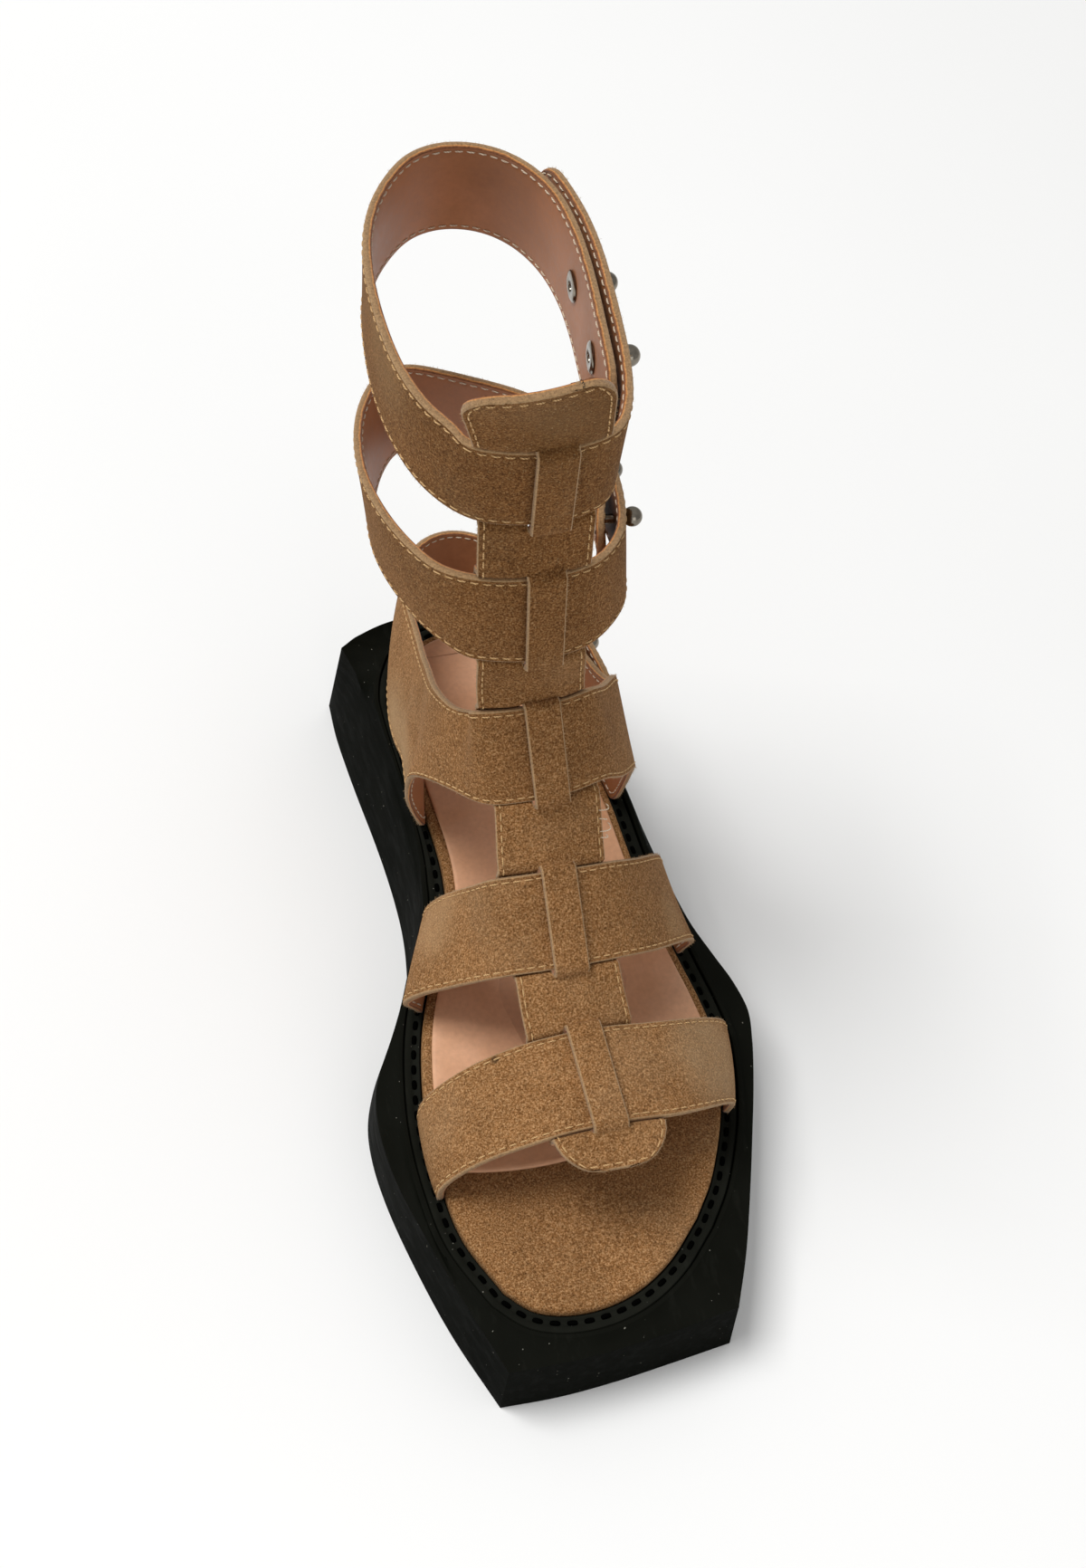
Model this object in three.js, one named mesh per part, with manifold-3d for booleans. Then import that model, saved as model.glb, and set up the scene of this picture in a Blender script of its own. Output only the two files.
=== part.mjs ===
import * as THREE from 'three';
import { mergeVertices } from 'three/addons/utils/BufferGeometryUtils.js';
import Module from 'manifold-3d';

// Left gladiator sandal, about size 38: a chiselled wedge sole, a welt, an insole with its sock, a
// slit centre tongue and five cross straps that pass under the tongue's bridges, closed by studs.
// Millimetres. +X is the outer side, +Y the heel, +Z up. The origin lies on the floor under the
// middle of the sole.

// Sole
const SOLE_LENGTH = 278;
const SOLE_WIDTH = 124.3;
const TOE_HEIGHT = 27.7;
const HEEL_HEIGHT = 47.7;
const TOE_WALL = 24.3;
const HEEL_WALL = 48.6;
const WELT_WIDTH = 5.2;
const WELT_THICKNESS = 2.6;
const INSOLE_LIP = 2.6;
const INSOLE_THICKNESS = 5.6;
const SOCK_THICKNESS = 1.1;
const SOCK_MARGIN = 3;
const RIM_WIDTH = 1.8;
const RIM_RISE = 0.9;

// Upper
const UPPER_HEIGHT = 257;
const STRAP_THICKNESS = 2.2;
const TONGUE_THICKNESS = 2.2;
const BRIDGE_WIDTH = 11.4;
const SLIT_SLACK = 2.6;
const TONGUE_LIFT = 0.5;
const TIP_ROUND = 9;
const QUARTER_SWELL = 1.8;

// Studs
const STUD_BALL = 5.6;
const STUD_POST = 2.6;
const STUD_DISC = 10;
const STUD_DISC_THICKNESS = 1.1;
const STUD_NECK = 1.6;

// Clearances
const GAP = 0.3;
const WEAVE_GAP = 0.5;
const SEAT_GAP = 0.4;
const STRAP_LIFT = 0.7;
const SLIT_MARGIN = 0.8;
const STUD_LIFT = 0.6;

// Tables give places in parts of the named sizes: 246 parts along the sole, 110 across it, and 43
// parts from the floor to the heel's insole with 185 more from there to the top of the tongue.
const ALONG = SOLE_LENGTH / 246;
const ACROSS = SOLE_WIDTH / 110;
const HEEL_PARTS = 43;
const TOP_PARTS = 228;
const RISE = (UPPER_HEIGHT - HEEL_HEIGHT) / (TOP_PARTS - HEEL_PARTS);
const MIDDLE_X = 36.9 * ACROSS;
const MIDDLE_Y = 122.6 * ALONG;

// Height of the insole's top and of the wall's upper crease along the sole
const TOP_LINE = [
  // along, share of the way from toe height to heel height
  [0, 0], [40, 0.02], [70, 0.07], [100, 0.21], [130, 0.41], [160, 0.61], [190, 0.81], [225, 1], [250, 1],
];
const CREASE_LINE = [
  // along, share of the way from toe wall to heel wall
  [0, 0], [50, 0.03], [90, 0.13], [130, 0.29], [160, 0.33], [190, 0.42], [208, 0.54], [218, 0.78],
  [224, 1], [250, 1],
];

// Outlines, each in four runs seen from above: toe, outer side, heel, inner side
const FLOOR_OUTLINE = {
  // across, along
  toe: [[0, 0], [15, -0.5], [30, 0.2], [46, 1.8], [62.7, 3.7]],
  outer: [
    [62.7, 3.7], [69, 17], [75.5, 33], [82.2, 51], [87.4, 66], [90.8, 77], [91.9, 86], [90.6, 96],
    [87.6, 106], [84.6, 117], [82, 132], [80.6, 148], [79.6, 165], [77.4, 182], [75.2, 198],
    [73.4, 212], [70.5, 238],
  ],
  heel: [[70.5, 238], [60, 242.5], [46, 245], [32, 245.5], [16, 242], [0, 235]],
  inner: [
    [0, 235], [-0.2, 222], [0.7, 208], [2, 194], [3.5, 180], [4.6, 167], [5.2, 154], [5.1, 143],
    [4, 132], [1.6, 120.5], [-3.5, 110], [-9.6, 100.5], [-14.4, 91], [-17.3, 82], [-18.1, 72],
    [-16.9, 58.5], [-13, 39.5], [-7.6, 20], [0, 0],
  ],
};
const CREASE_OUTLINE = {
  // across, along
  toe: [[0, 0.8], [15, 0.4], [30, 1.1], [46, 2.8], [60.8, 5]],
  outer: [
    [60.8, 5], [67.2, 18], [73.4, 33], [80.3, 51], [85.3, 65], [88.9, 77], [90.6, 86], [89.2, 95],
    [86, 104.5], [82.3, 116], [79.6, 132], [77.9, 148], [76.9, 165], [74.4, 182], [71.8, 198],
    [69.8, 211], [67, 224],
  ],
  heel: [[67, 224], [57, 229], [46, 231.5], [32, 232], [15, 229], [0, 222]],
  inner: [
    [0, 222], [3, 216], [4.6, 208], [5.6, 196], [6.7, 182], [7.5, 166], [7.7, 150], [6.4, 133],
    [2.2, 115], [-4.6, 101.5], [-11.6, 91], [-16.4, 81], [-18, 71], [-16.8, 56], [-12.8, 40],
    [-7, 21.5], [0, 0.8],
  ],
};
const INSOLE_OUTLINE = {
  // across, along
  toe: [[3.5, 20], [9.5, 14.2], [17, 11.6], [27, 11.4], [37, 14], [47, 19.8], [57, 29.2]],
  outer: [
    [57, 29.2], [63.5, 37.8], [68.2, 46.4], [72.4, 56], [76, 68], [77.8, 80], [77, 90], [75, 102],
    [72.6, 115], [70.6, 128], [69.6, 142], [68.8, 156], [67, 170], [64.4, 184], [61, 197],
    [57, 208.5], [51, 217.6],
  ],
  heel: [[51, 217.6], [44.5, 221.8], [37, 223.6], [29.5, 223.2], [23, 220.4], [17.5, 215.5]],
  inner: [
    [17.5, 215.5], [14.2, 208.4], [12.4, 200], [11.6, 188], [12, 174], [13.2, 161], [14.2, 150],
    [14.2, 140], [12.6, 129], [8.4, 118.6], [3, 106.5], [-1.6, 93.5], [-4.6, 79], [-6, 65],
    [-5.6, 50], [-3.4, 35.5], [3.5, 20],
  ],
};
const RUNS = { toe: 14, outer: 36, heel: 14, inner: 36 };

// Tongue: rows at each strap's lower and upper edge, up the foot, then the free end
const SPINE = [
  // across, along, height, inner half width, outer half width, bend radius
  [32.8, 34.5, 50.5, 14.2, 14.6, 60],
  [32.8, 44.8, 54, 14.4, 14.8, 50],
  [32.3, 70, 57.4, 14, 13.8, 50],
  [31.6, 83.9, 65.8, 13.9, 13.2, 42],
  [31.2, 103.5, 81, 14.6, 13.4, 42],
  [31, 115.9, 95.3, 14, 13.2, 34],
  [28, 127, 118.8, 14.8, 11.8, 34],
  [25.8, 125.8, 137, 15, 10.8, 38],
  [23, 126.1, 164, 15, 10.8, 38],
  [21.4, 125.7, 181, 15, 10.8, 38],
  [18, 119.8, 206.5, 16.4, 11.8, 38],
  [14.6, 112, 227, 19.6, 11.4, 60],
];
const CROSSINGS = { toe: 1, instep: 3, quarter: 5, lowerAnkle: 7, topAnkle: 9 };

// Foot straps: where the lower and upper edge meet the sole along it, how far each half bulges out
// over the welt, and the arch of each half from the tongue to the sole
const FOOT_STRAPS = {
  toe: { inner: { seat: [47, 70.5], bulge: 0.3 }, outer: { seat: [56.5, 80], bulge: 0.3 } },
  instep: { inner: { seat: [100, 125.5], bulge: 5 }, outer: { seat: [105.5, 131], bulge: 1.6 } },
};
const ARCH = [
  // share of the way out, share of the rise left, share of the bulge
  [0.34, 0.87, 0], [0.64, 0.68, 0.2], [0.87, 0.45, 0.6], [1, 0.22, 1], [1, 0.12, 0.62],
  [1, 0.045, 0.08], [1, 0, 0],
];

// Quarter: rows from the outer tip round the heel, up the inner side, under the bridge and down the
// outer side to the inner tip. A row with no lower height stands on the welt along the insole.
const QUARTER_OUTER_BAND = [
  // lower across, along, height, upper across, along, height
  [69, 164, 60.5, 64.4, 168, 78],
  [68.6, 172, 59.4, 63.6, 175, 77.6],
  [67.6, 181.5, 58.5, 62.4, 184, 77.5],
  [65.4, 192, 57, 60, 195, 76.4],
  [61.8, 203.5, 55.5, 56.8, 206, 76.4],
  [55.8, 214.2, 54.3, 51.6, 217.3, 77],
  [46.5, 223.3, 53.7, 43.5, 227, 77.8],
  [34, 228, 53.5, 33.5, 231, 78.4],
  [24, 226, 51, 24.6, 228, 79],
  [17.2, 221.6, 47, 18.4, 221, 79],
];
const QUARTER_INNER_SEAT = [
  // seat along, upper across, along, height
  [213, 15.5, 211, 78],
  [206, 14.6, 203.5, 77.6],
  [197, 14.6, 194.5, 78.4],
  [186, 14, 186, 80.6],
  [177, 12.8, 177, 84.5],
  [170, 12, 169.5, 88.2],
  [166, 11.5, 165.6, 90.2],
];
const QUARTER_INNER_ARM = [
  // lower across, along, height, upper across, along, height
  [6.4, 158.5, 55, 10.6, 157.5, 94.6],
  [5, 149, 70, 10.6, 148.6, 99.6],
  [6, 138, 80, 12, 141, 104],
  [10.6, 126.4, 88, 15.4, 134.4, 109.5],
];
const QUARTER_OUTER_ARM = [
  // lower across, along, height, upper across, along, height
  [52.6, 124.4, 88.6, 47.6, 136.6, 112],
  [60.4, 133.5, 80, 53.6, 145, 105.5],
  [65.6, 143, 67, 58, 152.5, 96],
  [69, 151, 50, 60.8, 159.5, 87],
];
const QUARTER_OUTER_SEAT = [
  // seat along, upper across, along, height
  [157.5, 61.6, 165, 81.6],
  [161, 61.4, 170, 78.6],
  [169, 61, 176.5, 76.4],
  [176, 60, 182.5, 75.2],
  [179.5, 59.2, 186, 74.8],
];
const QUARTER_BACK_ARM = [
  // lower across, along, height, upper across, along, height
  [65, 185.5, 49, 58, 190.5, 74.5],
  [61.4, 194, 59, 56, 197, 74.6],
  [57, 203, 57.6, 52.8, 205.4, 75],
  [52.3, 211.4, 56, 48.4, 213.8, 75.8],
];

// Ankle straps: the upper edge seen from above, from the inner tip round the heel to the outer tip;
// the front comes from the tongue. Tilt is the slope of the edge's plane, and lean that of the
// strap's width.
const LOWER_ANKLE = {
  width: 27,
  tilt: [-0.07, 0],
  lean: [-0.19, -0.03],
  before: [
    // across, along
    [39.4, 139.5], [42.4, 149], [44.2, 160], [43.2, 172], [39, 181.6], [32, 188.6], [24, 194],
    [15, 199.6], [8, 203], [2, 202], [-3, 196], [-7, 187.6], [-9.4, 178], [-10.1, 168],
    [-9.1, 158], [-6.8, 148], [-3.2, 139], [0.6, 133],
  ],
  after: [
    [43.6, 137], [46.4, 146], [47.6, 155], [47.7, 165], [46.4, 175.4], [42, 184.8],
  ],
};
const TOP_ANKLE = {
  width: 25,
  tilt: [-0.06, -0.12],
  lean: [-0.07, -0.16],
  before: [
    // across, along
    [34.5, 134.5], [35.7, 145], [36.8, 158], [37.8, 171], [37.7, 184], [35.9, 194.5], [31.9, 203],
    [26.2, 208.8], [19.5, 211.7], [12.8, 212], [6.2, 209.5], [0.4, 203.6], [-4.7, 195.5],
    [-8.1, 185.5], [-10, 172], [-10.1, 158], [-8.5, 145], [-5, 134], [-0.4, 126.8],
  ],
  after: [
    [36, 130], [38.4, 140], [39.9, 152], [40.9, 164], [41.3, 176], [40.8, 186.6], [39, 197],
  ],
};

// Studs: where each post crosses its strap, and the post's turn seen from above in degrees
const STUDS = {
  // across, along, height, turn
  quarter: [[61.4, 189, 66.5, 22], [56.6, 201, 66.2, 33]],
  lower: [[45, 152, 152, -8], [46, 169, 152, 4]],
  top: [[38, 151, 201, -6], [39, 172, 203, 0]],
};

const material = (color, roughness, metalness = 0) =>
  new THREE.MeshStandardMaterial({ color, roughness, metalness });
const RUBBER = material(0x1c1c1c, 0.6);
const WELT_BLACK = material(0x161616, 0.7);
const SUEDE = material(0x9c7a52, 0.95);
const SOCK_LEATHER = material(0xc19a80, 0.55);
const NICKEL = material(0x6f675c, 0.3, 1);

const wasm = await Module();
wasm.setup();

const mix = (a, b, t) => a + (b - a) * t;

function readLine(table, along) {
  const row = table.findIndex((entry) => entry[0] >= along);
  if (row <= 0) return row === 0 ? table[0][1] : table.at(-1)[1];
  const [y0, s0] = table[row - 1];
  const [y1, s1] = table[row];
  return mix(s0, s1, (along - y0) / (y1 - y0));
}

const topHeight = (y) => mix(TOE_HEIGHT, HEEL_HEIGHT, readLine(TOP_LINE, y / ALONG));
const creaseHeight = (y) => mix(TOE_WALL, HEEL_WALL, readLine(CREASE_LINE, y / ALONG));
const weltTop = (y) => topHeight(y) - INSOLE_LIP;
const seatHeight = (y) => topHeight(y) - INSOLE_THICKNESS - SEAT_GAP;

// A table height in millimetres: heel parts up to the insole, rise parts above it
function height(parts) {
  const low = Math.min(parts, HEEL_PARTS) * (HEEL_HEIGHT / HEEL_PARTS);
  return low + Math.max(parts - HEEL_PARTS, 0) * RISE;
}

const place = (x, y, z) => new THREE.Vector3(x * ACROSS, y * ALONG, height(z));

// A smooth curve through points, read at evenly spaced places
function spaced(points, steps) {
  const curve = new THREE.CatmullRomCurve3(points, false, 'centripetal');
  curve.arcLengthDivisions = steps * 8;
  return curve.getSpacedPoints(steps);
}

// One outline as a ring of points, anticlockwise from above, starting at the inner toe corner
function outlineRing(outline) {
  return Object.entries(RUNS).flatMap(([run, steps]) => {
    const points = outline[run].map(([x, y]) => new THREE.Vector3(x * ACROSS, y * ALONG, 0));
    return spaced(points, steps).slice(0, -1);
  });
}

const insoleRing = outlineRing(INSOLE_OUTLINE);
const creaseRing = outlineRing(CREASE_OUTLINE);
const floorRing = outlineRing(FLOOR_OUTLINE);
const RING = insoleRing.length;

// Outward direction of a ring in plan
const ringNormals = insoleRing.map((point, i) => {
  const before = insoleRing[(i + RING - 1) % RING];
  const after = insoleRing[(i + 1) % RING];
  return new THREE.Vector3(after.y - before.y, before.x - after.x, 0).normalize();
});

// The insole's ring moved outward, held to a share of the way to the crease, and then past that
function offsetRing(distance, share = 1, past = 0) {
  return insoleRing.map((point, i) => {
    const room = point.distanceTo(creaseRing[i]) * share;
    return point.clone().addScaledVector(ringNormals[i], Math.min(distance, room) + past);
  });
}

const WELT_SHARE = 0.52;
const RIM_SHARE = 0.72;
const weltRing = offsetRing(WELT_WIDTH, WELT_SHARE);
const rimRing = offsetRing(WELT_WIDTH + GAP + RIM_WIDTH, RIM_SHARE);
const grooveRing = offsetRing(WELT_WIDTH, WELT_SHARE, GAP);

const raise = (ring, z) => ring.map((p) => new THREE.Vector3(p.x, p.y, z(p.y)));

// Volume of a closed triangle list, used to turn every solid to face out
function signedVolume(points, faces) {
  let sum = 0;
  for (const [a, b, c] of faces) {
    sum += points[a].dot(points[b].clone().cross(points[c]));
  }
  return sum / 6;
}

function solid(points, faces) {
  const turned = signedVolume(points, faces) < 0 ? faces.map(([a, b, c]) => [a, c, b]) : faces;
  const geometry = new THREE.BufferGeometry();
  const flat = points.flatMap((p) => [p.x, p.y, p.z]);
  geometry.setAttribute('position', new THREE.Float32BufferAttribute(flat, 3));
  geometry.setIndex(turned.flat());
  return mergeVertices(geometry, 1e-4);
}

// Rungs across a ring from its toe middle to its heel middle
function rungs(start, count) {
  const middle = Math.floor(RUNS.toe / 2);
  const at = (i) => start + ((middle + i + count) % count);
  const faces = [[at(0), at(1), at(-1)]];
  for (let i = 1; i < count / 2 - 1; i += 1) {
    faces.push([at(-i), at(i), at(i + 1)], [at(-i), at(i + 1), at(-i - 1)]);
  }
  faces.push([at(1 - count / 2), at(count / 2 - 1), at(count / 2)]);
  return faces;
}

// A solid from rings of equal length: closed by rungs at both ends, or joined end to end
function ringSolid(rings, capped = true) {
  const points = rings.flat();
  const count = rings[0].length;
  const faces = [];
  const last = capped ? rings.length - 1 : rings.length;
  for (let r = 0; r < last; r += 1) {
    const low = r * count;
    const high = ((r + 1) % rings.length) * count;
    for (let i = 0; i < count; i += 1) {
      const next = (i + 1) % count;
      faces.push([low + i, low + next, high + next], [low + i, high + next, high + i]);
    }
  }
  if (capped) {
    rungs(0, count).forEach(([a, b, c]) => faces.push([a, c, b]));
    faces.push(...rungs((rings.length - 1) * count, count));
  }
  return solid(points, faces);
}

function outsole() {
  return ringSolid([
    raise(floorRing, () => 0),
    raise(creaseRing, creaseHeight),
    raise(rimRing, (y) => weltTop(y) + RIM_RISE),
    raise(grooveRing, (y) => weltTop(y) + RIM_RISE),
    raise(grooveRing, seatHeight),
  ]);
}

function welt() {
  const inside = offsetRing(GAP);
  const bottom = (y) => weltTop(y) - WELT_THICKNESS;
  return ringSolid([
    raise(inside, weltTop), raise(weltRing, weltTop), raise(weltRing, bottom), raise(inside, bottom),
  ], false);
}

function insole() {
  const bottom = (y) => topHeight(y) - INSOLE_THICKNESS;
  return ringSolid([raise(insoleRing, bottom), raise(insoleRing, topHeight)]);
}

// The sock covers the insole behind a bowed front edge
const SOCK_FRONT = { along: 49, across: 34, bow: 0.0045 };
function sock() {
  const inset = insoleRing.map((p, i) => p.clone().addScaledVector(ringNormals[i], -SOCK_MARGIN));
  const front = (x) => (SOCK_FRONT.along + SOCK_FRONT.bow * (x / ACROSS - SOCK_FRONT.across) ** 2) * ALONG;
  const ring = inset.map((p) => new THREE.Vector3(p.x, Math.max(p.y, front(p.x)), 0));
  const low = (y) => topHeight(y) + GAP;
  const high = (y) => low(y) + SOCK_THICKNESS;
  return ringSolid([raise(ring, low), raise(ring, high)]);
}

// Where the insole's edge lies at a place along it, moved outward to carry a strap
const SIDE_MIDDLE = Math.floor(RUNS.toe / 2);
function insoleEdge(side, y, outward) {
  const step = side === 'outer' ? 1 : -1;
  const at = (i) => {
    const index = (SIDE_MIDDLE + step * i + 2 * RING) % RING;
    return insoleRing[index].clone().addScaledVector(ringNormals[index], outward);
  };
  for (let i = 1; i < RING / 2; i += 1) {
    const a = at(i);
    const b = at(i + 1);
    if (a.y <= y && b.y >= y) return a.lerp(b, (y - a.y) / (b.y - a.y));
  }
  return at(RING / 2 - 1);
}

const STRAP_SEAT = SEAT_GAP + STRAP_THICKNESS / 2;
function seatPoint(side, along) {
  const point = insoleEdge(side, along * ALONG, STRAP_SEAT);
  return point.setZ(weltTop(point.y) + STRAP_LIFT);
}

// A sheet's solid: its middle surface thickened both ways, with walls along every open edge
function sheetSolid(points, quads, thickness) {
  const normals = points.map(() => new THREE.Vector3());
  for (const quad of quads) {
    const [a, b, c, d] = quad.map((i) => points[i]);
    const normal = c.clone().sub(a).cross(d.clone().sub(b));
    quad.forEach((i) => normals[i].add(normal));
  }
  const half = thickness / 2;
  const shifted = (sign) => points.map((p, i) => p.clone().addScaledVector(normals[i].normalize(), sign * half));
  const all = [...shifted(1), ...shifted(-1)];
  const under = points.length;
  const faces = [];
  const edges = new Map();
  for (const [a, b, c, d] of quads) {
    faces.push([a, b, c], [a, c, d], [under + a, under + c, under + b], [under + a, under + d, under + c]);
    for (const [p, q] of [[a, b], [b, c], [c, d], [d, a]]) {
      if (edges.has(`${q},${p}`)) edges.delete(`${q},${p}`);
      else edges.set(`${p},${q}`, [p, q]);
    }
  }
  for (const [p, q] of edges.values()) {
    faces.push([p, under + p, q], [q, under + p, under + q]);
  }
  return solid(all, faces);
}

// Centre line of the tongue: straight under each strap, curved between straps
const spinePoints = SPINE.map(([x, y, z]) => place(x, y, z));
const isCrossing = (k) => k % 2 === 1 && k < SPINE.length - 1;

function spineFrame(k, t) {
  const from = spinePoints[k];
  const to = spinePoints[k + 1];
  const span = to.clone().sub(from);
  const length = span.length();
  let point = from.clone().lerp(to, t);
  let tangent = span.clone();
  if (!isCrossing(k)) {
    const before = k > 0 ? from.clone().sub(spinePoints[k - 1]) : span.clone();
    const after = k + 2 < SPINE.length ? spinePoints[k + 2].clone().sub(to) : span.clone();
    const start = before.setLength(length);
    const end = after.setLength(length);
    const [t2, t3] = [t * t, t * t * t];
    point = from.clone().multiplyScalar(2 * t3 - 3 * t2 + 1)
      .addScaledVector(start, t3 - 2 * t2 + t)
      .addScaledVector(to, 3 * t2 - 2 * t3)
      .addScaledVector(end, t3 - t2);
    tangent = from.clone().multiplyScalar(6 * t2 - 6 * t)
      .addScaledVector(start, 3 * t2 - 4 * t + 1)
      .addScaledVector(to, 6 * t - 6 * t2)
      .addScaledVector(end, 3 * t2 - 2 * t);
  }
  tangent.normalize();
  const across = new THREE.Vector3(1, 0, 0);
  across.addScaledVector(tangent, -across.dot(tangent)).normalize();
  const out = across.clone().cross(tangent);
  const [inner, outer, bend] = [3, 4, 5].map((c) => mix(SPINE[k][c], SPINE[k + 1][c], t) * ACROSS);
  return { point, across, out, inner, outer, bend, length };
}

// A point beside the spine, on the bent cross section, at a level above the middle surface
function beside(frame, offset, level) {
  const sag = frame.bend - Math.sqrt(frame.bend ** 2 - offset ** 2);
  return frame.point.clone()
    .addScaledVector(frame.across, offset)
    .addScaledVector(frame.out, level - sag);
}

const WEAVE_LEVEL = STRAP_THICKNESS / 2 + WEAVE_GAP + TONGUE_THICKNESS / 2;

// Rows of the tongue: each says where it is, how wide, and whether it is inside a slit
function tongueRows() {
  const rows = [];
  const add = (k, t, inSlit, width = 1) => rows.push({ ...spineFrame(k, t), inSlit, width });
  const last = SPINE.length - 2;
  for (let k = 0; k <= last; k += 1) {
    const { length } = spineFrame(k, 0);
    const margin = SLIT_MARGIN / length;
    const slack = (SLIT_MARGIN + SLIT_SLACK) / length;
    if (isCrossing(k)) {
      [-margin, 0.33, 0.67, 1 + margin].forEach((t) => add(k, t, true));
    } else if (k === 0) {
      [[0, 0.42], [0.05, 0.62], [0.14, 0.8], [0.3, 0.94], [0.55, 1]].forEach(([t, w]) => add(k, t, false, w));
      add(k, 1 - slack, false);
    } else if (k === last) {
      add(k, slack, false);
      [[0.45, 1], [0.75, 1], [0.9, 0.95], [0.97, 0.87], [1, 0.74]].forEach(([t, w]) => add(k, t, false, w));
    } else {
      [slack, 0.5, 1 - slack].forEach((t) => add(k, t, false));
    }
  }
  return rows;
}

function tongue() {
  const rows = tongueRows();
  const slit = BRIDGE_WIDTH / 2;
  const points = [];
  const keep = (frame, offset, level) => points.push(beside(frame, offset, level)) - 1;
  const grid = rows.map((row) => {
    const inner = row.inner * row.width;
    const outer = row.outer * row.width;
    const wing = row.inSlit ? -WEAVE_LEVEL : TONGUE_LIFT;
    const left = [-inner, -(inner + slit) / 2, -slit].map((v) => keep(row, v, wing));
    const right = [slit, (outer + slit) / 2, outer].map((v) => keep(row, v, wing));
    const centre = row.inSlit
      ? [-slit, 0, slit].map((v) => keep(row, v, WEAVE_LEVEL))
      : [left[2], keep(row, 0, wing), right[0]];
    return { left, centre, right };
  });
  const quads = [];
  for (let r = 0; r + 1 < grid.length; r += 1) {
    for (const strip of ['left', 'centre', 'right']) {
      const low = grid[r][strip];
      const high = grid[r + 1][strip];
      for (let c = 0; c < 2; c += 1) quads.push([low[c], low[c + 1], high[c + 1], high[c]]);
    }
  }
  return sheetSolid(points, quads, TONGUE_THICKNESS);
}

// A strap from its lower edge, middle line and upper edge, each a list of points that match one to
// one. Tips say which ends are rounded.
const STRAP_ROWS = 3;
function strapSheet([lower, middle, upper], steps, tips = [false, false]) {
  const curve = (points) => new THREE.CatmullRomCurve3(points, false, 'centripetal');
  const [low, centre, high] = [lower, middle, upper].map(curve);
  const places = Array.from({ length: steps + 1 }, (_, i) => i / steps);
  const length = centre.getLength();
  const rounds = [0.03, 0.15, 0.4, 0.7, 1].map((share) => (share * TIP_ROUND) / length);
  const inTip = (u, end) => tips[end] && (end === 0 ? u < rounds.at(-1) : u > 1 - rounds.at(-1));
  const kept = places.filter((u) => !inTip(u, 0) && !inTip(u, 1));
  if (tips[0]) kept.unshift(...rounds);
  if (tips[1]) kept.push(...rounds.map((r) => 1 - r).reverse());
  const squeeze = (u) => {
    const near = Math.min(tips[0] ? u : 1, tips[1] ? 1 - u : 1) * length;
    const share = Math.min(near / TIP_ROUND, 1);
    return mix(0.4, 1, Math.sqrt(1 - (1 - share) ** 2));
  };
  const points = [];
  kept.forEach((u) => {
    const a = low.getPoint(u);
    const b = centre.getPoint(u);
    const c = high.getPoint(u);
    for (let v = 0; v <= STRAP_ROWS; v += 1) {
      const s = 0.5 + (v / STRAP_ROWS - 0.5) * squeeze(u);
      points.push(a.clone().multiplyScalar((2 * s - 1) * (s - 1))
        .addScaledVector(b, 4 * s * (1 - s))
        .addScaledVector(c, s * (2 * s - 1)));
    }
  });
  const quads = [];
  const wide = STRAP_ROWS + 1;
  for (let i = 0; i + 1 < kept.length; i += 1) {
    for (let v = 0; v < STRAP_ROWS; v += 1) {
      const at = i * wide + v;
      quads.push([at, at + wide, at + wide + 1, at + 1]);
    }
  }
  return sheetSolid(points, quads, STRAP_THICKNESS);
}

// Points of a strap's edge where it lies on the tongue, from the inner side to the outer side
const WING_MARGIN = 1.14;
function underBridge(crossing, end) {
  const frame = spineFrame(crossing, end);
  return [-1, -0.62, -0.3, 0, 0.3, 0.62, 1].map((s) =>
    beside(frame, s * (s < 0 ? frame.inner : frame.outer) * WING_MARGIN, 0));
}

const midway = (a, b) => a.map((point, i) => point.clone().lerp(b[i], 0.5));

function footStrap(name) {
  const crossing = CROSSINGS[name];
  const edges = [0, 0.5, 1].map((end) => {
    const middle = underBridge(crossing, end);
    const half = (side, wing) => {
      const { seat, bulge } = FOOT_STRAPS[name][side];
      const foot = seatPoint(side, mix(seat[0], seat[1], end));
      const swell = (side === 'outer' ? bulge : -bulge) * ACROSS;
      return ARCH.map(([out, rise, share]) => new THREE.Vector3(
        mix(wing.x, foot.x, out) + swell * share,
        mix(wing.y, foot.y, out),
        mix(foot.z, wing.z, rise),
      ));
    };
    return [...half('inner', middle[0]).reverse(), ...middle, ...half('outer', middle.at(-1))];
  });
  return strapSheet(edges, 40);
}

function quarter() {
  const lower = [];
  const upper = [];
  const swell = [];
  const free = (rows) => rows.forEach(([x0, y0, z0, x1, y1, z1]) => {
    lower.push(place(x0, y0, z0));
    upper.push(place(x1, y1, z1));
    swell.push(0);
  });
  const seated = (side, rows) => rows.forEach(([along, x1, y1, z1]) => {
    lower.push(seatPoint(side, along));
    upper.push(place(x1, y1, z1));
    swell.push(side === 'outer' ? QUARTER_SWELL : -QUARTER_SWELL);
  });
  free(QUARTER_OUTER_BAND);
  seated('inner', QUARTER_INNER_SEAT);
  free(QUARTER_INNER_ARM);
  lower.push(...underBridge(CROSSINGS.quarter, 0));
  upper.push(...underBridge(CROSSINGS.quarter, 1));
  swell.push(...upper.slice(swell.length).fill(0));
  free(QUARTER_OUTER_ARM);
  seated('outer', QUARTER_OUTER_SEAT);
  free(QUARTER_BACK_ARM);
  const middle = midway(lower, upper).map((p, i) => p.setX(p.x + swell[i]));
  return strapSheet([lower, middle, upper], 88, [true, true]);
}

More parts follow.
